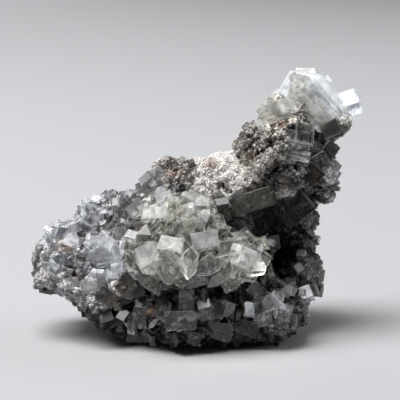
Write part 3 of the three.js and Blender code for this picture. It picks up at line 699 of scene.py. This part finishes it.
def grain_piece(name, rock, weight, tints, form, count, spacing, radius, spread, seed):
    """Grains: dented and stretched copies of a form, half sunk in the crust. radius is the least and the
    most, and spread is how far their tones differ."""
    random = np.random.default_rng(seed)
    spots, lean, near = strewn(rock.data, weight, count, spacing, random)
    total = len(spots)
    ball, faces = form
    size = radius[0] + (radius[1] - radius[0]) * random.random((total, 1, 1)) ** 1.6
    dents = 1 + 0.28 * random.normal(size=(total, len(ball), 1)).clip(-1.5, 1.5)
    stretch = 0.75 + 0.5 * random.random((total, 1, 3))
    frames = turned_frames(unit(random.normal(size=(total, 3))), random)
    local = ball[None] * dents * stretch * size
    points = spots[:, None] + np.einsum("nvi,nij->nvj", local, frames)
    points = points + lean[:, None] * size * PROUD
    piece = new_piece(name, points, copies(len(ball), faces, total), [GRAINS])
    # Each tone is the tint of the crust below, painted shade and all, made lighter or darker at random.
    tone = np.clip(tints[near] * (1.08 - 0.5 * spread + spread * random.random((total, 1))), 0, 1)
    write_attribute(piece.data, "tone", "FLOAT_COLOR", np.repeat(tone, len(ball), axis=0))


# ---- Crystals ----

# A crystal's end: how far its sides and its broad faces step in, as shares of the half-width and the
# half-thickness, and how long the step is, as a share of the half-thickness.
ENDS = {
    "flat": (0.0, 0.0, 0.0),
    "blunt": (0.16, 0.2, 0.2),
    "roof": (0.0, 0.93, 0.9),
    "point": (0.93, 0.0, 1.1),
    "tip": (0.75, 0.3, 1.3),
    "gable": (0.85, 0.9, 0.9),
}
END_SHARES = (0.62, 0.14, 0.08, 0.06, 0.05, 0.05)  # how often a loose crystal has each

# A crystal's outline, anticlockwise. For each corner: its side along Y, whether it is cut in along Y, and
# the same along Z. Plain crystals have the bare four corners, and others have their four edges cut off.
BARE_OUTLINE = np.array([(1, 0, 1, 0), (-1, 0, 1, 0), (-1, 0, -1, 0), (1, 0, -1, 0)])
CUT_OUTLINE = np.array([(1, 0, 1, 1), (1, 1, 1, 0), (-1, 1, 1, 0), (-1, 0, 1, 1),
                        (-1, 0, -1, 1), (-1, 1, -1, 0), (1, 1, -1, 0), (1, 0, -1, 1)])


def crystal_points(crystals, plain):
    """Crystals along their own X: an outline carried through the shoulder and the rim of each end, and
    through the cap of its bevel where the crystals aren't plain."""
    long, wide, thick = crystals["half"].T
    bevel, ends = crystals["bevel"], crystals["ends"]
    y_side, y_cut, z_side, z_cut = (BARE_OUTLINE if plain else CUT_OUTLINE).T
    stations = []
    for side, end in ((-1, ends[:, 0]), (1, ends[:, 1])):
        narrow, thin, step = end.T
        rim_wide, rim_thick = wide * (1 - narrow), thick * (1 - thin)
        fine = np.minimum(bevel, 0.4 * np.minimum(rim_wide, rim_thick))
        if plain:
            step = np.maximum(step, 0.12)
            own = [
                (long - step * thick, wide, thick, bevel),
                (long, rim_wide * 0.9, rim_thick * 0.9, bevel),
            ]
        else:
            own = [
                (long - fine - step * thick, wide, thick, bevel),
                (long - fine, rim_wide, rim_thick, fine),
                (long, rim_wide - fine, rim_thick - fine, fine * 0.5),
            ]
        for station in own if side == 1 else own[::-1]:
            reach, w, t, cut = (value[:, None] for value in station)
            y = y_side * (w - y_cut * cut)
            z = z_side * (t - z_cut * cut)
            x = side * reach + crystals["slant"][:, None] * y
            stations.append(np.stack([x, y, z], axis=-1))
    return np.stack(stations, axis=1)


def tube_faces(rings, corners):
    """Quads between following rings, and the two end caps split in quads."""
    faces = []
    for r in range(rings - 1):
        for c in range(corners):
            d = (c + 1) % corners
            faces.append((r * corners + c, r * corners + d, (r + 1) * corners + d, (r + 1) * corners + c))
    last = (rings - 1) * corners
    for k in range(1, corners - 2, 2):
        faces.append((0, k + 2, k + 1, k))
        faces.append((last, last + k, last + k + 1, last + k + 2))
    return faces


def outward(points, faces):
    """The faces of one shape, turned to point outwards."""
    a, b, c = (points[[f[i] for f in faces]] for i in range(3))
    volume = np.sum(np.cross(a, b) * c)
    return faces if volume > 0 else [tuple(reversed(f)) for f in faces]


# Frost of the cut edges, which also whitens them as a painted highlight along the edges.
EDGE_FROST_AND_HIGHLIGHT = 0.6


def face_frost_and_highlight(total, rings, corners, random):
    """How dull each face is: one number for each side of a crystal all along it, and one for each end. Most
    faces are polished, some are frosted, and so are the cut edges, whose frost also whitens them in the
    barite finishes: partly a painted highlight along the edges."""
    dull = 0.02 + 0.32 * random.random((total, corners + 2)) ** 4
    if corners == len(CUT_OUTLINE):
        dull[:, 0:corners:2] = EDGE_FROST_AND_HIGHLIGHT
    sides = np.tile(dull[:, :corners], rings - 1)
    caps = np.repeat(dull[:, corners:], (corners - 2) // 2, axis=0).reshape(total, -1)
    return np.concatenate([sides, caps], axis=1)


# Faces that lie about these ways catch the lamps towards the eye: they are made satin, so that they shine
# softly over a wide angle, and their tint is whitened as a painted highlight.
HIGHLIGHT_WAYS = [unit(-0.21 * RIGHT + 0.46 * UP + 0.86 * OUT), unit(0.63 * RIGHT + 0.52 * UP + 0.58 * OUT)]
HIGHLIGHT_SPREAD = (0.895, 0.95)  # the cosine from which a face takes the painted highlight a little, and fully
HIGHLIGHT_FROST = 0.35


def highlight_faces(mesh, frost_and_highlight):
    """Frost, raised on the faces that lie the highlight ways; in the barite finishes it whitens them as a
    painted highlight.
    """
    ways = read(mesh.polygons, "normal", 3) @ np.transpose(HIGHLIGHT_WAYS)
    return np.maximum(frost_and_highlight.ravel(), HIGHLIGHT_FROST * ramp(np.max(ways, axis=1), *HIGHLIGHT_SPREAD))


def crystal_piece(name, crystals, materials, replaced=(), seed=1, plain=False, clear=False):
    """Crystals as joined meshes. crystals holds arrays: middle (n, 3), axes (n, 3, 3), half (n, 3),
    ends (n, 2, 3), slant (n), bevel (n) and kind (n), the number of each one's material. Clear ones
    cast no shadow, since light comes through them."""
    random = np.random.default_rng(seed)
    local = crystal_points(crystals, plain)
    total, rings, corners, _ = local.shape
    local = local.reshape(total, rings * corners, 3)
    points = crystals["middle"][:, None] + np.einsum("nvi,nij->nvj", local, crystals["axes"])
    faces = outward(local[0], tube_faces(rings, corners))
    piece = new_piece(name, points, copies(rings * corners, faces, total), materials, replaced)
    shift = random.random((total, 1, 3)) * 90  # so that no two crystals have the same clouds
    write_attribute(piece.data, "own", "FLOAT_VECTOR", local + shift)
    frost_and_highlight = highlight_faces(piece.data, face_frost_and_highlight(total, rings, corners, random))
    write_attribute(piece.data, "frost_and_highlight", "FLOAT", frost_and_highlight, "FACE")
    write_attribute(piece.data, "tone", "FLOAT", np.repeat(random.random(total), rings * corners))
    if "tint" in crystals:
        tint = np.repeat(crystals["tint"], rings * corners, axis=0)
        write_attribute(piece.data, "tint", "FLOAT_COLOR", tint)
    kinds = np.repeat(crystals["kind"], len(faces)).astype(np.int32)
    piece.data.polygons.foreach_set("material_index", kinds)
    piece.visible_shadow = not clear


# The crystals of each cluster, a line for each: across, up, and lift off the rock towards the eye; length,
# width and thickness; the ways of its length and of its broad face, each as right, up, out; its two ends,
# where they aren't both flat; and how far it slants, where it does.
CLUSTERS = {
    "summit": """
33.2 69.8 5.2  18 9.5 7.5  .64 -.77 .05  -.3 -.25 .92  tip blunt
26.4 73 3.6  7.6 3.4 3.6  .5 .86 .05  -.35 .2 .91  blunt blunt
41.4 67.6 3.5  9.2 5.2 5.4  .93 .3 .2  -.1 .55 .83  blunt blunt
28.6 70 1.2  7 6 5  .25 .97 .05  -.2 -.1 .97  flat blunt
30.5 74.3 1  8.6 7 6.5  .83 .52 .21  -.2 .35 .91  tip tip
36 74.1 1.5  3.6 2.2 2.6  .8 .6 0  0 .3 .95  flat roof
35.7 66 2  7 5 5  .93 .36 .1  -.1 -.1 .99  flat blunt
41.2 64.8 2  5.5 4 4.4  .7 -.7 .1  .1 -.5 .86  flat roof
37.3 61.1 2.2  5 4.4 4.6  .91 .42 .05  -.1 -.2 .97""",
    "arm_left": """
21.6 65.2 2  9 5.4 4.8  .93 .36 .05  -.15 .1 .98  point blunt
19.7 66.4 1.2  4.4 3.2 3.4  .6 .8 0  -.3 .3 .9  -.07
22.4 69.3 1.2  4.4 3.2 3.2  .7 .7 .1  -.2 .2 .96  flat roof  .17
25.4 67.3 2.4  4.4 3.2 3.4  .98 .2 0  0 .3 .95  flat roof  -.2
18.8 61.8 1  3.2 2.8 3  .93 .31 .21  0 .41 .91  flat roof  -.11""",
    "arm_front": """
30 59.4 3  6.2 5 4.8  .08 1 .05  .1 -.1 .99
28.6 55.4 3.2  5.8 4.2 4.4  .96 -.25 .1  -.1 -.15 .98
29.2 53.4 2.9  5.2 2.2 4  .97 -.2 .1  0 -.3 .95
26.4 58.6 1  4 3 3.2  .2 .98 0  -.2 0 .98  roof flat  .01
33 55.2 1.2  4 3.6 4  .5 .86 0  .1 .1 .99  roof flat  -.01""",
    "arm_right": """
37 55 1.2  4.8 4 4  .6 .8 0  .2 0 .98  roof flat
34.7 51.6 1.6  4.8 4.2 4  .5 -.86 0  .1 .1 .99
32.4 48.4 1.4  5.4 4.8 4.8  .71 -.71 0  .1 -.2 .97""",
    "ledge": """
15.8 41 2.2  12.4 5.4 5.5  .95 .3 .05  0 -.12 .99  blunt blunt
11.4 42.4 3.6  3.2 2.8 3  .98 .21 0  0 .1 .99  point point
10.4 37.2 2.4  5.8 3.4 3.6  .08 1 .05  .1 0 .99
7.4 38.4 2.4  6.4 3.6 3.6  -.15 .98 .1  .1 0 .99  flat roof
27 38.8 2.4  10.5 7.8 5.4  .77 .63 .05  -.1 -.2 .97  blunt blunt
21.6 37 1.8  5.4 4.2 4.4  .85 -.53 0  0 .1 .99  flat roof""",
    "recess": """
16.5 33.2 1.4  8.4 4.2 4.4  .98 .2 0  0 0 1
12 33.2 1.4  5.6 3.6 4.2  .99 -.15 0  0 -.1 .99  point flat  -.19
20 29.2 1  7 5 5  .99 .15 0  0 -.2 .98
20.8 25.6 1.2  6.6 3 4.4  1 .04 0  0 -.15 .99""",
    "upper_middle": """
-3.2 39.6 2  8.8 4.8 4.8  .85 .52 .05  -.1 .15 .98  point blunt
1.6 38.6 2.2  6 3.8 4.4  .04 .99 .1  0 .05 1  flat roof
-7.2 40.4 1.4  4.6 3.2 3.6  .93 .36 .1  0 .46 .89  point roof  -.23
-.8 35.8 1.8  6.4 3.2 4.4  .99 .1 0  0 .1 .99
-11.5 36.4 1.8  6.6 3.8 4.2  .99 .05 .1  -.05 .5 .86
-10.4 34.2 1.8  6.4 2.8 4.2  .77 .63 .1  .25 -.31 .92  flat point
-2 33 2  8.4 4.6 5  .98 .2 0  0 .12 .99  flat blunt
5.7 33.2 3  7.6 5.8 5  .25 .97 .05  .1 .05 .99  blunt tip""",
    "middle": """
-7 27.2 3.6  6.6 4.6 5.4  .96 -.2 .2  -.35 .6 .72
-13 24.8 2.9  7 6 5.6  .91 .42 .05  -.22 .36 .91  blunt blunt
-7.2 22.8 3  8 6.8 5.6  .62 -.78 .05  -.25 -.15 .96  blunt blunt
-15.7 21.9 2  9.6 3.6 4.4  .66 -.74 .1  -.46 -.36 .81  blunt blunt
-14.2 30.6 2.2  6.8 4.4 4.6  .02 .97 .22  -.2 -.1 .93  flat gable
-18 29.6 1.2  5.6 3.8 4  .2 .97 .1  -.5 -.1 .86  flat roof
-10.2 31 2  6.4 3.2 4.4  .1 .98 .15  .15 -.1 .98  flat point
-3.8 26 3.6  7.2 5.2 5.4  .62 -.78 .1  .05 .05 1  blunt flat
-1.7 23.6 4.6  8.8 3.9 3.8  .14 .97 .18  -.1 -.05 .99  point point
2.8 22.6 3.4  7.2 5 5.2  .81 .56 .15  0 -.1 .99  tip blunt
2.3 29.2 3  7.8 4.6 5  .98 .2 .05  0 .3 .95  blunt blunt
-10.8 17.8 1.6  5.6 4.8 4.6  .51 .86 .05  -.1 .1 .99
-4.6 18.9 2.8  4.8 3.2 3.6  .82 -.56 .1  0 -.2 .98  .04
-.4 19.2 2.8  6.2 3.6 4.4  .95 .3 0  0 -.4 .92
4.8 19 2.4  5.4 3.2 4.4  .8 .6 0  .1 -.4 .91  point flat""",
    "right_middle": """
14.8 23.3 3  9.4 6 5.4  .89 -.43 .15  .12 .3 .95  blunt tip
9.8 27.6 3  6.8 4.8 5  .99 .12 .1  .05 -.1 .99
11.1 26.4 4.6  4.6 2.8 3.2  .22 .95 .2  -.1 .2 .97  flat roof
7.6 22.4 3  6.6 4.4 4.6  -.2 .97 .15  .05 0 1
14.7 27 2.2  6.4 2.6 4  .75 -.66 .05  .2 .1 .97
18.6 23.6 2  3.4 2.8 3  .62 .72 .31  .2 .1 .97  roof roof
19.6 20.6 1.8  5 3.4 3.8  .71 -.69 .1  .1 0 .99  flat point
9.6 18.8 2.4  6.4 3.6 4.4  .83 .56 0  0 -.4 .92""",
    "shoulder": """
-13.7 46.4 .8  3.8 2.8 3.2  .7 .7 .1  -.51 .41 .76  .21
-11.3 46.6 1.3  7.2 4 4.2  .65 .76 0  -.1 .2 .97  blunt flat
-10.4 42.6 1.2  4 3.2 3.2  .91 .41 0  0 .2 .98  point roof  .23
-14.4 42.8 1.1  5.2 3.2 3.2  .5 .86 0  -.1 .3 .95  .14""",
    "left": """
-16.8 38.6 1.6  4.8 3.2 3.4  .7 .7 .1  -.1 .2 .97  .18
-20.4 39.2 1  4.8 3.2 3.2  .61 .76 .2  -.2 .3 .93  .19
-21.2 35 1.4  5.6 4 4  .3 .95 0  -.1 .1 .99
-20.8 31.6 1.4  4.4 3.8 3.8  .94 .31 .1  0 .1 .99  flat point
-26.6 36.6 .9  4.6 3.2 3.2  .84 .53 .11  -.1 .3 .95  point roof  .11
-29.8 33.8 1  5 4.2 3.6  .3 .95 0  -.1 .15 .98  point flat""",
    "left_plate": """
-26 25.1 2  9.6 5 4.8  .98 .22 0  -.05 .2 .98  point blunt
-22 22.2 1.6  4.8 4 4  .62 .78 .1  0 0 1  point point
-25.2 29 1.4  4.8 3.2 3.6  .84 -.53 .11  0 .3 .95  .05
-29.2 28.4 .9  4.2 3 3.2  .71 .71 0  -.1 .2 .97  roof flat  -.12""",
    "nose": """
-35 29.4 .9  4.6 3.6 3.4  .94 .31 .1  -.2 .2 .96  point flat
-40 22 .6  3.6 3 3  .84 -.53 .11  -.2 .1 .97  roof flat  -.23""",
    "lower_left": """
-28.4 17 1.5  7 4 4.8  .93 .36 .1  -.1 .42 .9  blunt roof
-25 13.6 1.3  5.2 4.2 4.4  .84 -.53 .11  0 .2 .98
-19.8 17.6 1.6  5.4 4.2 4.4  .71 .71 0  -.1 .1 .99
-17.6 14.7 2  6.8 2.8 4  .91 .42 .05  0 .3 .95  point flat
-14.6 13 1.6  4 3.2 3.6  .94 -.31 .1  0 0 1  point flat  -.23""",
    "foot_left": """
-4.4 7.8 2.2  8.6 5.2 5  1 .04 .05  0 -.15 .99  blunt blunt
-2.8 12.9 2.4  6.6 4.2 4.6  .05 .99 .12  0 -.12 .99
-8.8 9.8 1.8  5.2 3 4  .42 .91 .05  -.35 .2 .91  flat point
-12.4 6.8 1.4  5 3.6 3.8  .7 -.7 .1  -.1 .1 .99  point flat  .04
-15.8 8.6 1.2  5.6 3.6 4  .1 .99 .1  0 .05 1
-18.4 7.8 1  4.6 2.2 3  -.2 .97 .1  -.2 0 .98  flat roof  -.18
-.8 4 1.4  6.2 3 4  .99 .1 .05  0 -.1 .99""",
    "foot_right": """
2.4 10.4 1.6  5.6 3.6 4.2  -.25 .96 .15  0 .1 .99  flat roof
5.8 9.8 1.8  5.4 4.2 4.4  .71 .71 0  0 0 1
9 9.2 2.6  6 2.2 4.2  .15 -.98 .1  .1 .15 .98  point point
6.4 4.9 1.6  7.8 5 5  .97 -.25 .05  0 -.15 .99  blunt blunt
14.9 10.4 2.4  3.8 2.5 3.6  .15 .99 .05  0 .12 .99
19.2 11.6 1.9  5.8 4.2 4.4  .94 .31 .1  .05 .2 .98
14.4 5.4 1.6  5.8 4 4.4  .94 -.31 .1  0 -.1 .99
17 15.4 1.9  4.8 3.8 4.2  .74 -.64 .21  0 .1 .99  flat roof
13.2 15 1.2  5.2 2.4 3.8  .05 1 .05  .1 0 .99
22.4 13 1.8  4.4 3.2 3.8  .3 .95 .1  .1 .1 .99  .01
21.8 16.4 1.7  4.8 3.6 4  .7 .7 .1  0 .1 .99
29.6 14 1.8  5.8 3.6 4  .91 .42 .05  -.05 .2 .98
29 9.4 1.5  6.2 3.6 4  .05 1 .05  .2 .05 .98
23.8 8 1.5  5 3.6 3.8  .2 .97 .1  .1 0 .99  flat roof""",
    "wall": """
32.2 21.8 1.2  5 4.2 4  .62 .78 .1  .1 0 .99  point flat""",
    "bright": """
-17.9 5.2 2.8  3.4 2 2.2  .1 .99 .1  -.2 .45 .87
14.9 10.6 3.8  3.4 2.2 2.4  -.1 .99 .1  -.15 .4 .9  .1
29.8 14.2 4.6  5.6 3.8 3.8  .93 .35 .1  -.2 .45 .87  blunt flat
-8.8 9.2 3.4  3.8 3.2 3.2  .5 .86 .1  -.2 .4 .89
-3 14.4 3.6  3.2 2.2 2.2  .98 .1 .05  -.1 .6 .79
8.6 10.4 3.2  4 2.6 3  .3 .95 0  .5 .1 .86
28.6 8.4 3  4.6 4.4 4  .7 .7 .1  -.1 .2 .97  blunt flat
24.6 9.6 3  4.4 3.6 3.6  .3 .95 0  -.2 .3 .93
21 12.4 3  4.2 3.4 3.4  .8 .6 0  -.2 .1 .97  flat roof
25.8 15.6 2.4  3.8 3.2 3.2  .6 .8 0  -.2 .3 .93  flat point
-17 20.6 2.4  3 2.2 2.2  .7 .7 0  -.3 .45 .84
-9 41.2 2.4  4.6 3 3  .95 .3 0  -.2 .45 .87
-20 29 1.8  3.6 1.8 2.4  .3 .95 0  -.3 .4 .87
-13.2 37.2 2.6  3.6 2.4 2.4  .9 .1 .1  -.2 .5 .84  flat roof
35.6 71.2 9  11.6 4.6 3  .64 -.77 .05  .45 .4 .8  tip blunt""",
}


MILKY_SHARE = 0.45  # of a cluster's crystals, where their finishes are drawn
FLOOR_GAP = 0.15
REACH_OUTSIDE = 1.0  # how far a loose crystal may reach out of the solids' box


def set_crystals(table, rock_tree, random):
    """The crystals of a table's lines, each where the line from the eye meets the solid rock, and off it
    by its lift. Its own X is its length, and its own Z its broad face made square to that."""
    rows = [line.split() for line in table.strip().splitlines()]
    ends = [row[12:14] if len(row) > 13 else ["flat", "flat"] for row in rows]
    numbers = np.array([row[:12] for row in rows], float)
    middles = []
    for across, up, lift in numbers[:, :3]:
        sight = unit(on_sheet(across, up) - EYE)
        hit = rock_tree.ray_cast(Vector(EYE * MM), Vector(sight))[0]
        spot = np.array(hit) / MM if hit else on_sheet(across, up)
        middles.append(spot - lift * sight)
    basis = np.stack([RIGHT, UP, OUT])
    x = unit(numbers[:, 6:9] @ basis)
    z = numbers[:, 9:12] @ basis
    z = unit(z - np.sum(z * x, axis=1, keepdims=True) * x)
    half = numbers[:, 3:6] / 2
    return {
        "middle": np.array(middles),
        "axes": np.stack([x, np.cross(z, x), z], axis=1),
        "half": half,
        "ends": np.array([[ENDS[end] for end in pair] for pair in ends]),
        "slant": np.array([float(row[-1]) if len(row) % 2 else 0.0 for row in rows]),
        "bevel": 0.05 * half.min(axis=1) + 0.06,
        "kind": (random.random(len(rows)) < MILKY_SHARE).astype(int),
    }


def loose_crystals(rock, tints, weight, count, spacing, length, sunk, milky, seed):
    """Crystals at random places of the rock, leaning out of it, part sunk, each with the tint of its place,
    painted shade and all, made lighter or darker at random. length is the least and the most, sunk a share
    of the length, and milky the share that isn't clear."""
    random = np.random.default_rng(seed)
    spots, lean, near = strewn(rock.data, weight, count, spacing, random)
    total = len(spots)
    upright = 0.15 + 0.95 * random.random((total, 1))
    x = unit(lean * upright + unit(np.cross(lean, random.normal(size=(total, 3)))))
    long = length[0] + (length[1] - length[0]) * random.random(total) ** 2.2
    shares = 0.3 + 0.6 * random.random((total, 2))
    half = np.stack([long, long * shares[:, 0], long * shares[:, 1]], axis=1) / 2
    drawn = random.choice(len(ENDS), (total, 2), p=END_SHARES)
    out = np.sum(x * lean, axis=1)
    lift = half[:, 0] * out * 0.9 + half[:, 1] * (1 - out) * 0.75 - sunk * long
    return {
        "middle": spots + lift[:, None] * lean,
        "axes": turned_frames(x, random),
        "half": half,
        "ends": np.array(list(ENDS.values()))[drawn],
        "slant": 0.5 * (random.random(total) - 0.5),
        "bevel": 0.05 * half.min(axis=1) + 0.02,
        "kind": (random.random(total) < milky).astype(int),
        "tint": np.clip(tints[near] * (0.65 + 1.0 * random.random((total, 1)) ** 1.5), 0, 1),
    }


def within_box(crystals):
    """Which crystals stay above the floor, and in the solids' box or close to it."""
    reach = np.sum(crystals["half"][:, :, None] * np.abs(crystals["axes"]), axis=1)
    low, high = np.array(SOLIDS_BOX) / MM
    clear_of_floor = crystals["middle"][:, 2] - reach[:, 2] > FLOOR_GAP
    above_low = np.all(crystals["middle"][:, :2] - reach[:, :2] > low[:2] - REACH_OUTSIDE, axis=1)
    below_high = np.all(crystals["middle"] + reach < high + REACH_OUTSIDE, axis=1)
    return clear_of_floor & above_low & below_high


def kept(crystals, keep):
    """The crystals that keep is true of."""
    return {key: value[keep] for key, value in crystals.items()}


# Of each cluster: its slot, its finishes, and the number of each crystal's finish among them. Where no
# numbers are given, they are drawn.
CLUSTER_LOOKS = {
    "summit": ("white_barite", [*WHITE, *CREAM, BROWN[1]], "211421235"),
    "arm_left": ("white_barite", CREAM, ""),
    "arm_front": ("brown_barite", SLOPE, ""),
    "arm_right": ("brown_barite", [BROWN[1], SLOPE[0]], "110"),
    "ledge": ("brown_barite", [*BROWN, SLOPE[0]], "232200"),
    "recess": ("brown_barite", BROWN, "0000"),
    "upper_middle": ("cream_barite", CREAM, "11000010"),
    "middle": ("cream_barite", CREAM, "110001001011001"),
    "right_middle": ("cream_barite", CREAM, ""),
    "shoulder": ("grey_barite", [SLOPE[0], ICE[1]], ""),
    "left": ("grey_barite", SLOPE, ""),
    "left_plate": ("grey_barite", ICE, ""),
    "nose": ("grey_barite", ICE, ""),
    "lower_left": ("grey_barite", GREY, ""),
    "foot_left": ("grey_barite", GREY, ""),
    "foot_right": ("grey_barite", [*GREY, ICE[0]], "01012010120200"),
    "wall": ("grey_barite", GREY, ""),
    "bright": ("grey_barite", [WHITE[1], SLOPE[0], ICE[1]], "222101111101010"),
}
# Clusters that keep the light off what is behind them.
SHADING = ("ledge", "recess", "arm_right")


def set_clusters():
    """The clusters, each in the place of the nodes that are named after it."""
    solid_rock = merged_copy(ROCK_NODE)
    corners = [tuple(face.vertices) for face in solid_rock.polygons]
    rock_tree = BVHTree.FromPolygons([point.co for point in solid_rock.vertices], corners)
    random = np.random.default_rng(3)
    for cluster, table in CLUSTERS.items():
        nodes = [name for name in frame["nodes"] if name.startswith(cluster + "_crystals")]
        slot, finish, numbers = CLUSTER_LOOKS[cluster]
        found = set_crystals(table, rock_tree, random)
        if numbers:
            found["kind"] = np.array([int(number) for number in numbers])
        crystal_piece(cluster + "_cluster", found, finish, nodes, clear=cluster not in SHADING)


# ---- The specimen ----

rock, rock_points, zone, tint, painted_light = rock_piece()
across, up = seen_at(rock_points)
# Small things grow above the floor, out of the slot and the hole, and the grains out of the pits too.
above = ramp(rock_points[:, 2], 2.0, 3.5) * (1 - zone["slot"]) * (1 - zone["hole"])
high = above * ramp(painted_light, 0.12, 0.4)
# The tint with painted shade in the pits and dips, less of it on the left, and lighter the same with a least
# tint; the grains and the loose crystals take their tones from these.
open_crust = 0.25 + 0.25 * zone["left"]
shaded = tint * (open_crust + (1 - open_crust) * ramp(painted_light, 0.2, 0.6))[:, None]
lighter = np.maximum(shaded, (0.11, 0.103, 0.092))

sugary = parts_of(zone, sugar=1, ridge=0.25, left=0.1)
sugary = sugary + 0.4 * zone["back"] * sugar_patches(rock_points)
sugary = sugary + 0.6 * zone["left"] * ramp(-across, 35, 40)
sugary = (sugary + 0.12 * zone["left"]) * high
grain_piece(
    "sugary_grains", rock, sugary, shaded, double_pyramid(),
    count=36500, spacing=0.36, radius=(0.18, 0.46), spread=0.55, seed=5,
)
grain_piece(
    "arm_granules", rock, parts_of(zone, arm=1, knob=1, edge=1, wall=0.8) * high, shaded, golden_ball(),
    count=14000, spacing=0.6, radius=(0.2, 0.62), spread=1.0, seed=6,
)
grain_piece(
    "left_granules", rock, parts_of(zone, left=1, ridge=0.7, rust=2) * high, shaded, golden_ball(),
    count=9000, spacing=0.75, radius=(0.2, 0.6), spread=0.8, seed=7,
)
set_clusters()


def strew(name, finish, weight, seed, slot="grey_barite", tints=shaded, lit=False, milky=0.5, **draw):
    """Loose crystals over the rock. Druse is one piece of plain shapes. Others are a milky piece, which
    keeps the light off what is behind it unless it is lit, and a clear piece."""
    found = loose_crystals(rock, tints, weight * above, milky=milky, seed=seed, **draw)
    found = kept(found, within_box(found))
    if finish is DRUSE:
        crystal_piece(name, found, finish, seed=seed, plain=True)
    else:
        crystal_piece(name, kept(found, found["kind"] == 1), finish, seed=seed, clear=lit)
        clear_ones = kept(found, found["kind"] == 0)
        crystal_piece(name + "_clear", clear_ones, finish, seed=seed + 1, clear=True)


# Where each kind of loose crystal grows, from 0 to 1.
rear = ramp(-normals_of(rock.data) @ OUT, 0.1, 0.5) * ramp(rough(rock_points, 13.0, 97), 0.05, 0.35)
bare_back = zone["back"] * (1 - 0.85 * sugar_patches(rock_points))
slope = np.clip(zone["left"] * ramp(across, -30, -24) * ramp(up, 27, 31), 0, 1)
glassy = zone["left"] * (1 - slope) * ramp(rough(rock_points, 8.0, 99, 2), -0.25, 0.15)
glassy = glassy * ramp(up, 14, 19) * ramp(across, -42, -37)
upper = zone["centre"] * ramp(up, 33, 35) * ramp(-across, -7, -4)
left = zone["left"] - 0.5 * glassy + 0.5 * zone["ridge"]
foot = zone["foot"] * (1 - zone["foot_right"]) * (1 - zone["rust"])
foot_right = [SLOPE[0], GREY[1]]
strew("left_druse", DRUSE, left, 31, count=7000, spacing=1.0, length=(0.6, 2.2), sunk=0.3, milky=0.6)
strew("glassy_crystals", ICE, glassy, 45, count=1500, spacing=1.7, length=(1.6, 4.2), sunk=0.15, milky=0.55)
strew("slope_crystals", SLOPE, slope, 36, count=700, spacing=2.0, length=(2.0, 4.6), sunk=0.12, milky=0.55)
strew("middle_companions", CREAM, zone["centre"] * (1 - upper), 37, "cream_barite",
      count=900, spacing=2.1, length=(1.8, 5.0), sunk=0.12, milky=0.6)
strew("foot_druse", GREY, foot, 32, count=1200, spacing=2.3, length=(2.2, 5.6), sunk=0.1, milky=0.7)
strew("foot_right_druse", foot_right, zone["foot_right"], 42,
      count=500, spacing=2.1, length=(1.8, 4.6), sunk=0.1)
strew("upper_companions", CREAM, upper, 43, "cream_barite", lit=True,
      count=500, spacing=2.2, length=(2.2, 5.4), sunk=0.12)
strew("foot_fine_druse", DRUSE, parts_of(zone, foot=1, centre=0.3), 33, tints=lighter,
      count=5000, spacing=1.1, length=(0.7, 2.4), sunk=0.0)
strew("recess_druse", BROWN, zone["recess"], 38, "brown_barite",
      count=300, spacing=1.8, length=(1.2, 3.4), sunk=0.1, milky=0.3)
strew("arm_druse", DRUSE, parts_of(zone, arm=0.5, wall=0.5), 34,
      count=350, spacing=1.6, length=(0.6, 1.9), sunk=0.1)
strew("lower_left_druse", DRUSE, zone["lower_left"], 39,
      count=1200, spacing=1.5, length=(0.8, 2.6), sunk=0.2, milky=0.6)
strew("back_crystals", SLOPE, rear, 44, count=700, spacing=2.6, length=(2.4, 5.4), sunk=0.15)
strew("back_druse", DRUSE, bare_back, 35, count=6000, spacing=1.3, length=(0.8, 2.6), sunk=0.3, milky=0.85)

# ---- Studio ----

LAMP_DISTANCE = 1500.0
LAMP_AIM = (0, 0, 38)


def studio_floor():
    """A plain pale floor, wide enough to fill the view."""
    mesh = bpy.data.meshes.new("floor")
    mesh.from_pydata([(-4, -4, 0), (4, -4, 0), (4, 4, 0), (-4, 4, 0)], [], [(0, 1, 2, 3)])
    n = Nodes("floor_paint")
    n.set(Base_Color=(0.42, 0.42, 0.43, 1), Roughness=0.9)
    mesh.materials.append(n.material)
    placed("floor", mesh)


def soft_light(name, right, up, out, size, power, colour):
    """A soft light of this width and height, in metres, that looks at the specimen from a direction
    given as right, up, out."""
    place = SHEET_MIDDLE + LAMP_DISTANCE * unit(right * RIGHT + up * UP + out * OUT)
    light = bpy.data.lights.new(name, "AREA")
    light.shape = "RECTANGLE"
    light.size, light.size_y = size
    light.energy = power
    light.color = colour
    lamp = placed(name, light)
    lamp.location = Vector(place) * MM
    lamp.rotation_euler = (Vector(LAMP_AIM) - Vector(place)).to_track_quat("-Z", "Y").to_euler()


def camera():
    """The eye: it looks at the sheet's middle from in front of it."""
    lens = bpy.data.cameras.new("camera")
    lens.lens = 135
    lens.sensor_width = 36
    lens.clip_start = 0.01
    eye = placed("camera", lens)
    eye.location = Vector(EYE) * MM
    eye.rotation_euler = Vector(-OUT).to_track_quat("-Z", "Y").to_euler()
    bpy.context.scene.camera = eye


def world():
    """Faint, even light from all around."""
    surroundings = bpy.data.worlds.new("surroundings")
    surroundings.use_nodes = True
    background = surroundings.node_tree.nodes["Background"]
    background.inputs["Color"].default_value = (0.9, 0.91, 0.93, 1)
    background.inputs["Strength"].default_value = 0.035
    bpy.context.scene.world = surroundings


studio_floor()
camera()
world()
soft_light("key", -0.36, 0.9, 0.24, (0.8, 1.3), 42, (0.99, 0.99, 1.0))
soft_light("fill", -0.5, 0.45, -0.9, (1.2, 1.2), 6, (0.98, 0.99, 1.0))
soft_light("rim", 0.85, 0.5, -0.2, (0.8, 0.8), 6, (0.95, 0.98, 1.0))
bpy.context.scene.view_settings.view_transform = "Standard"
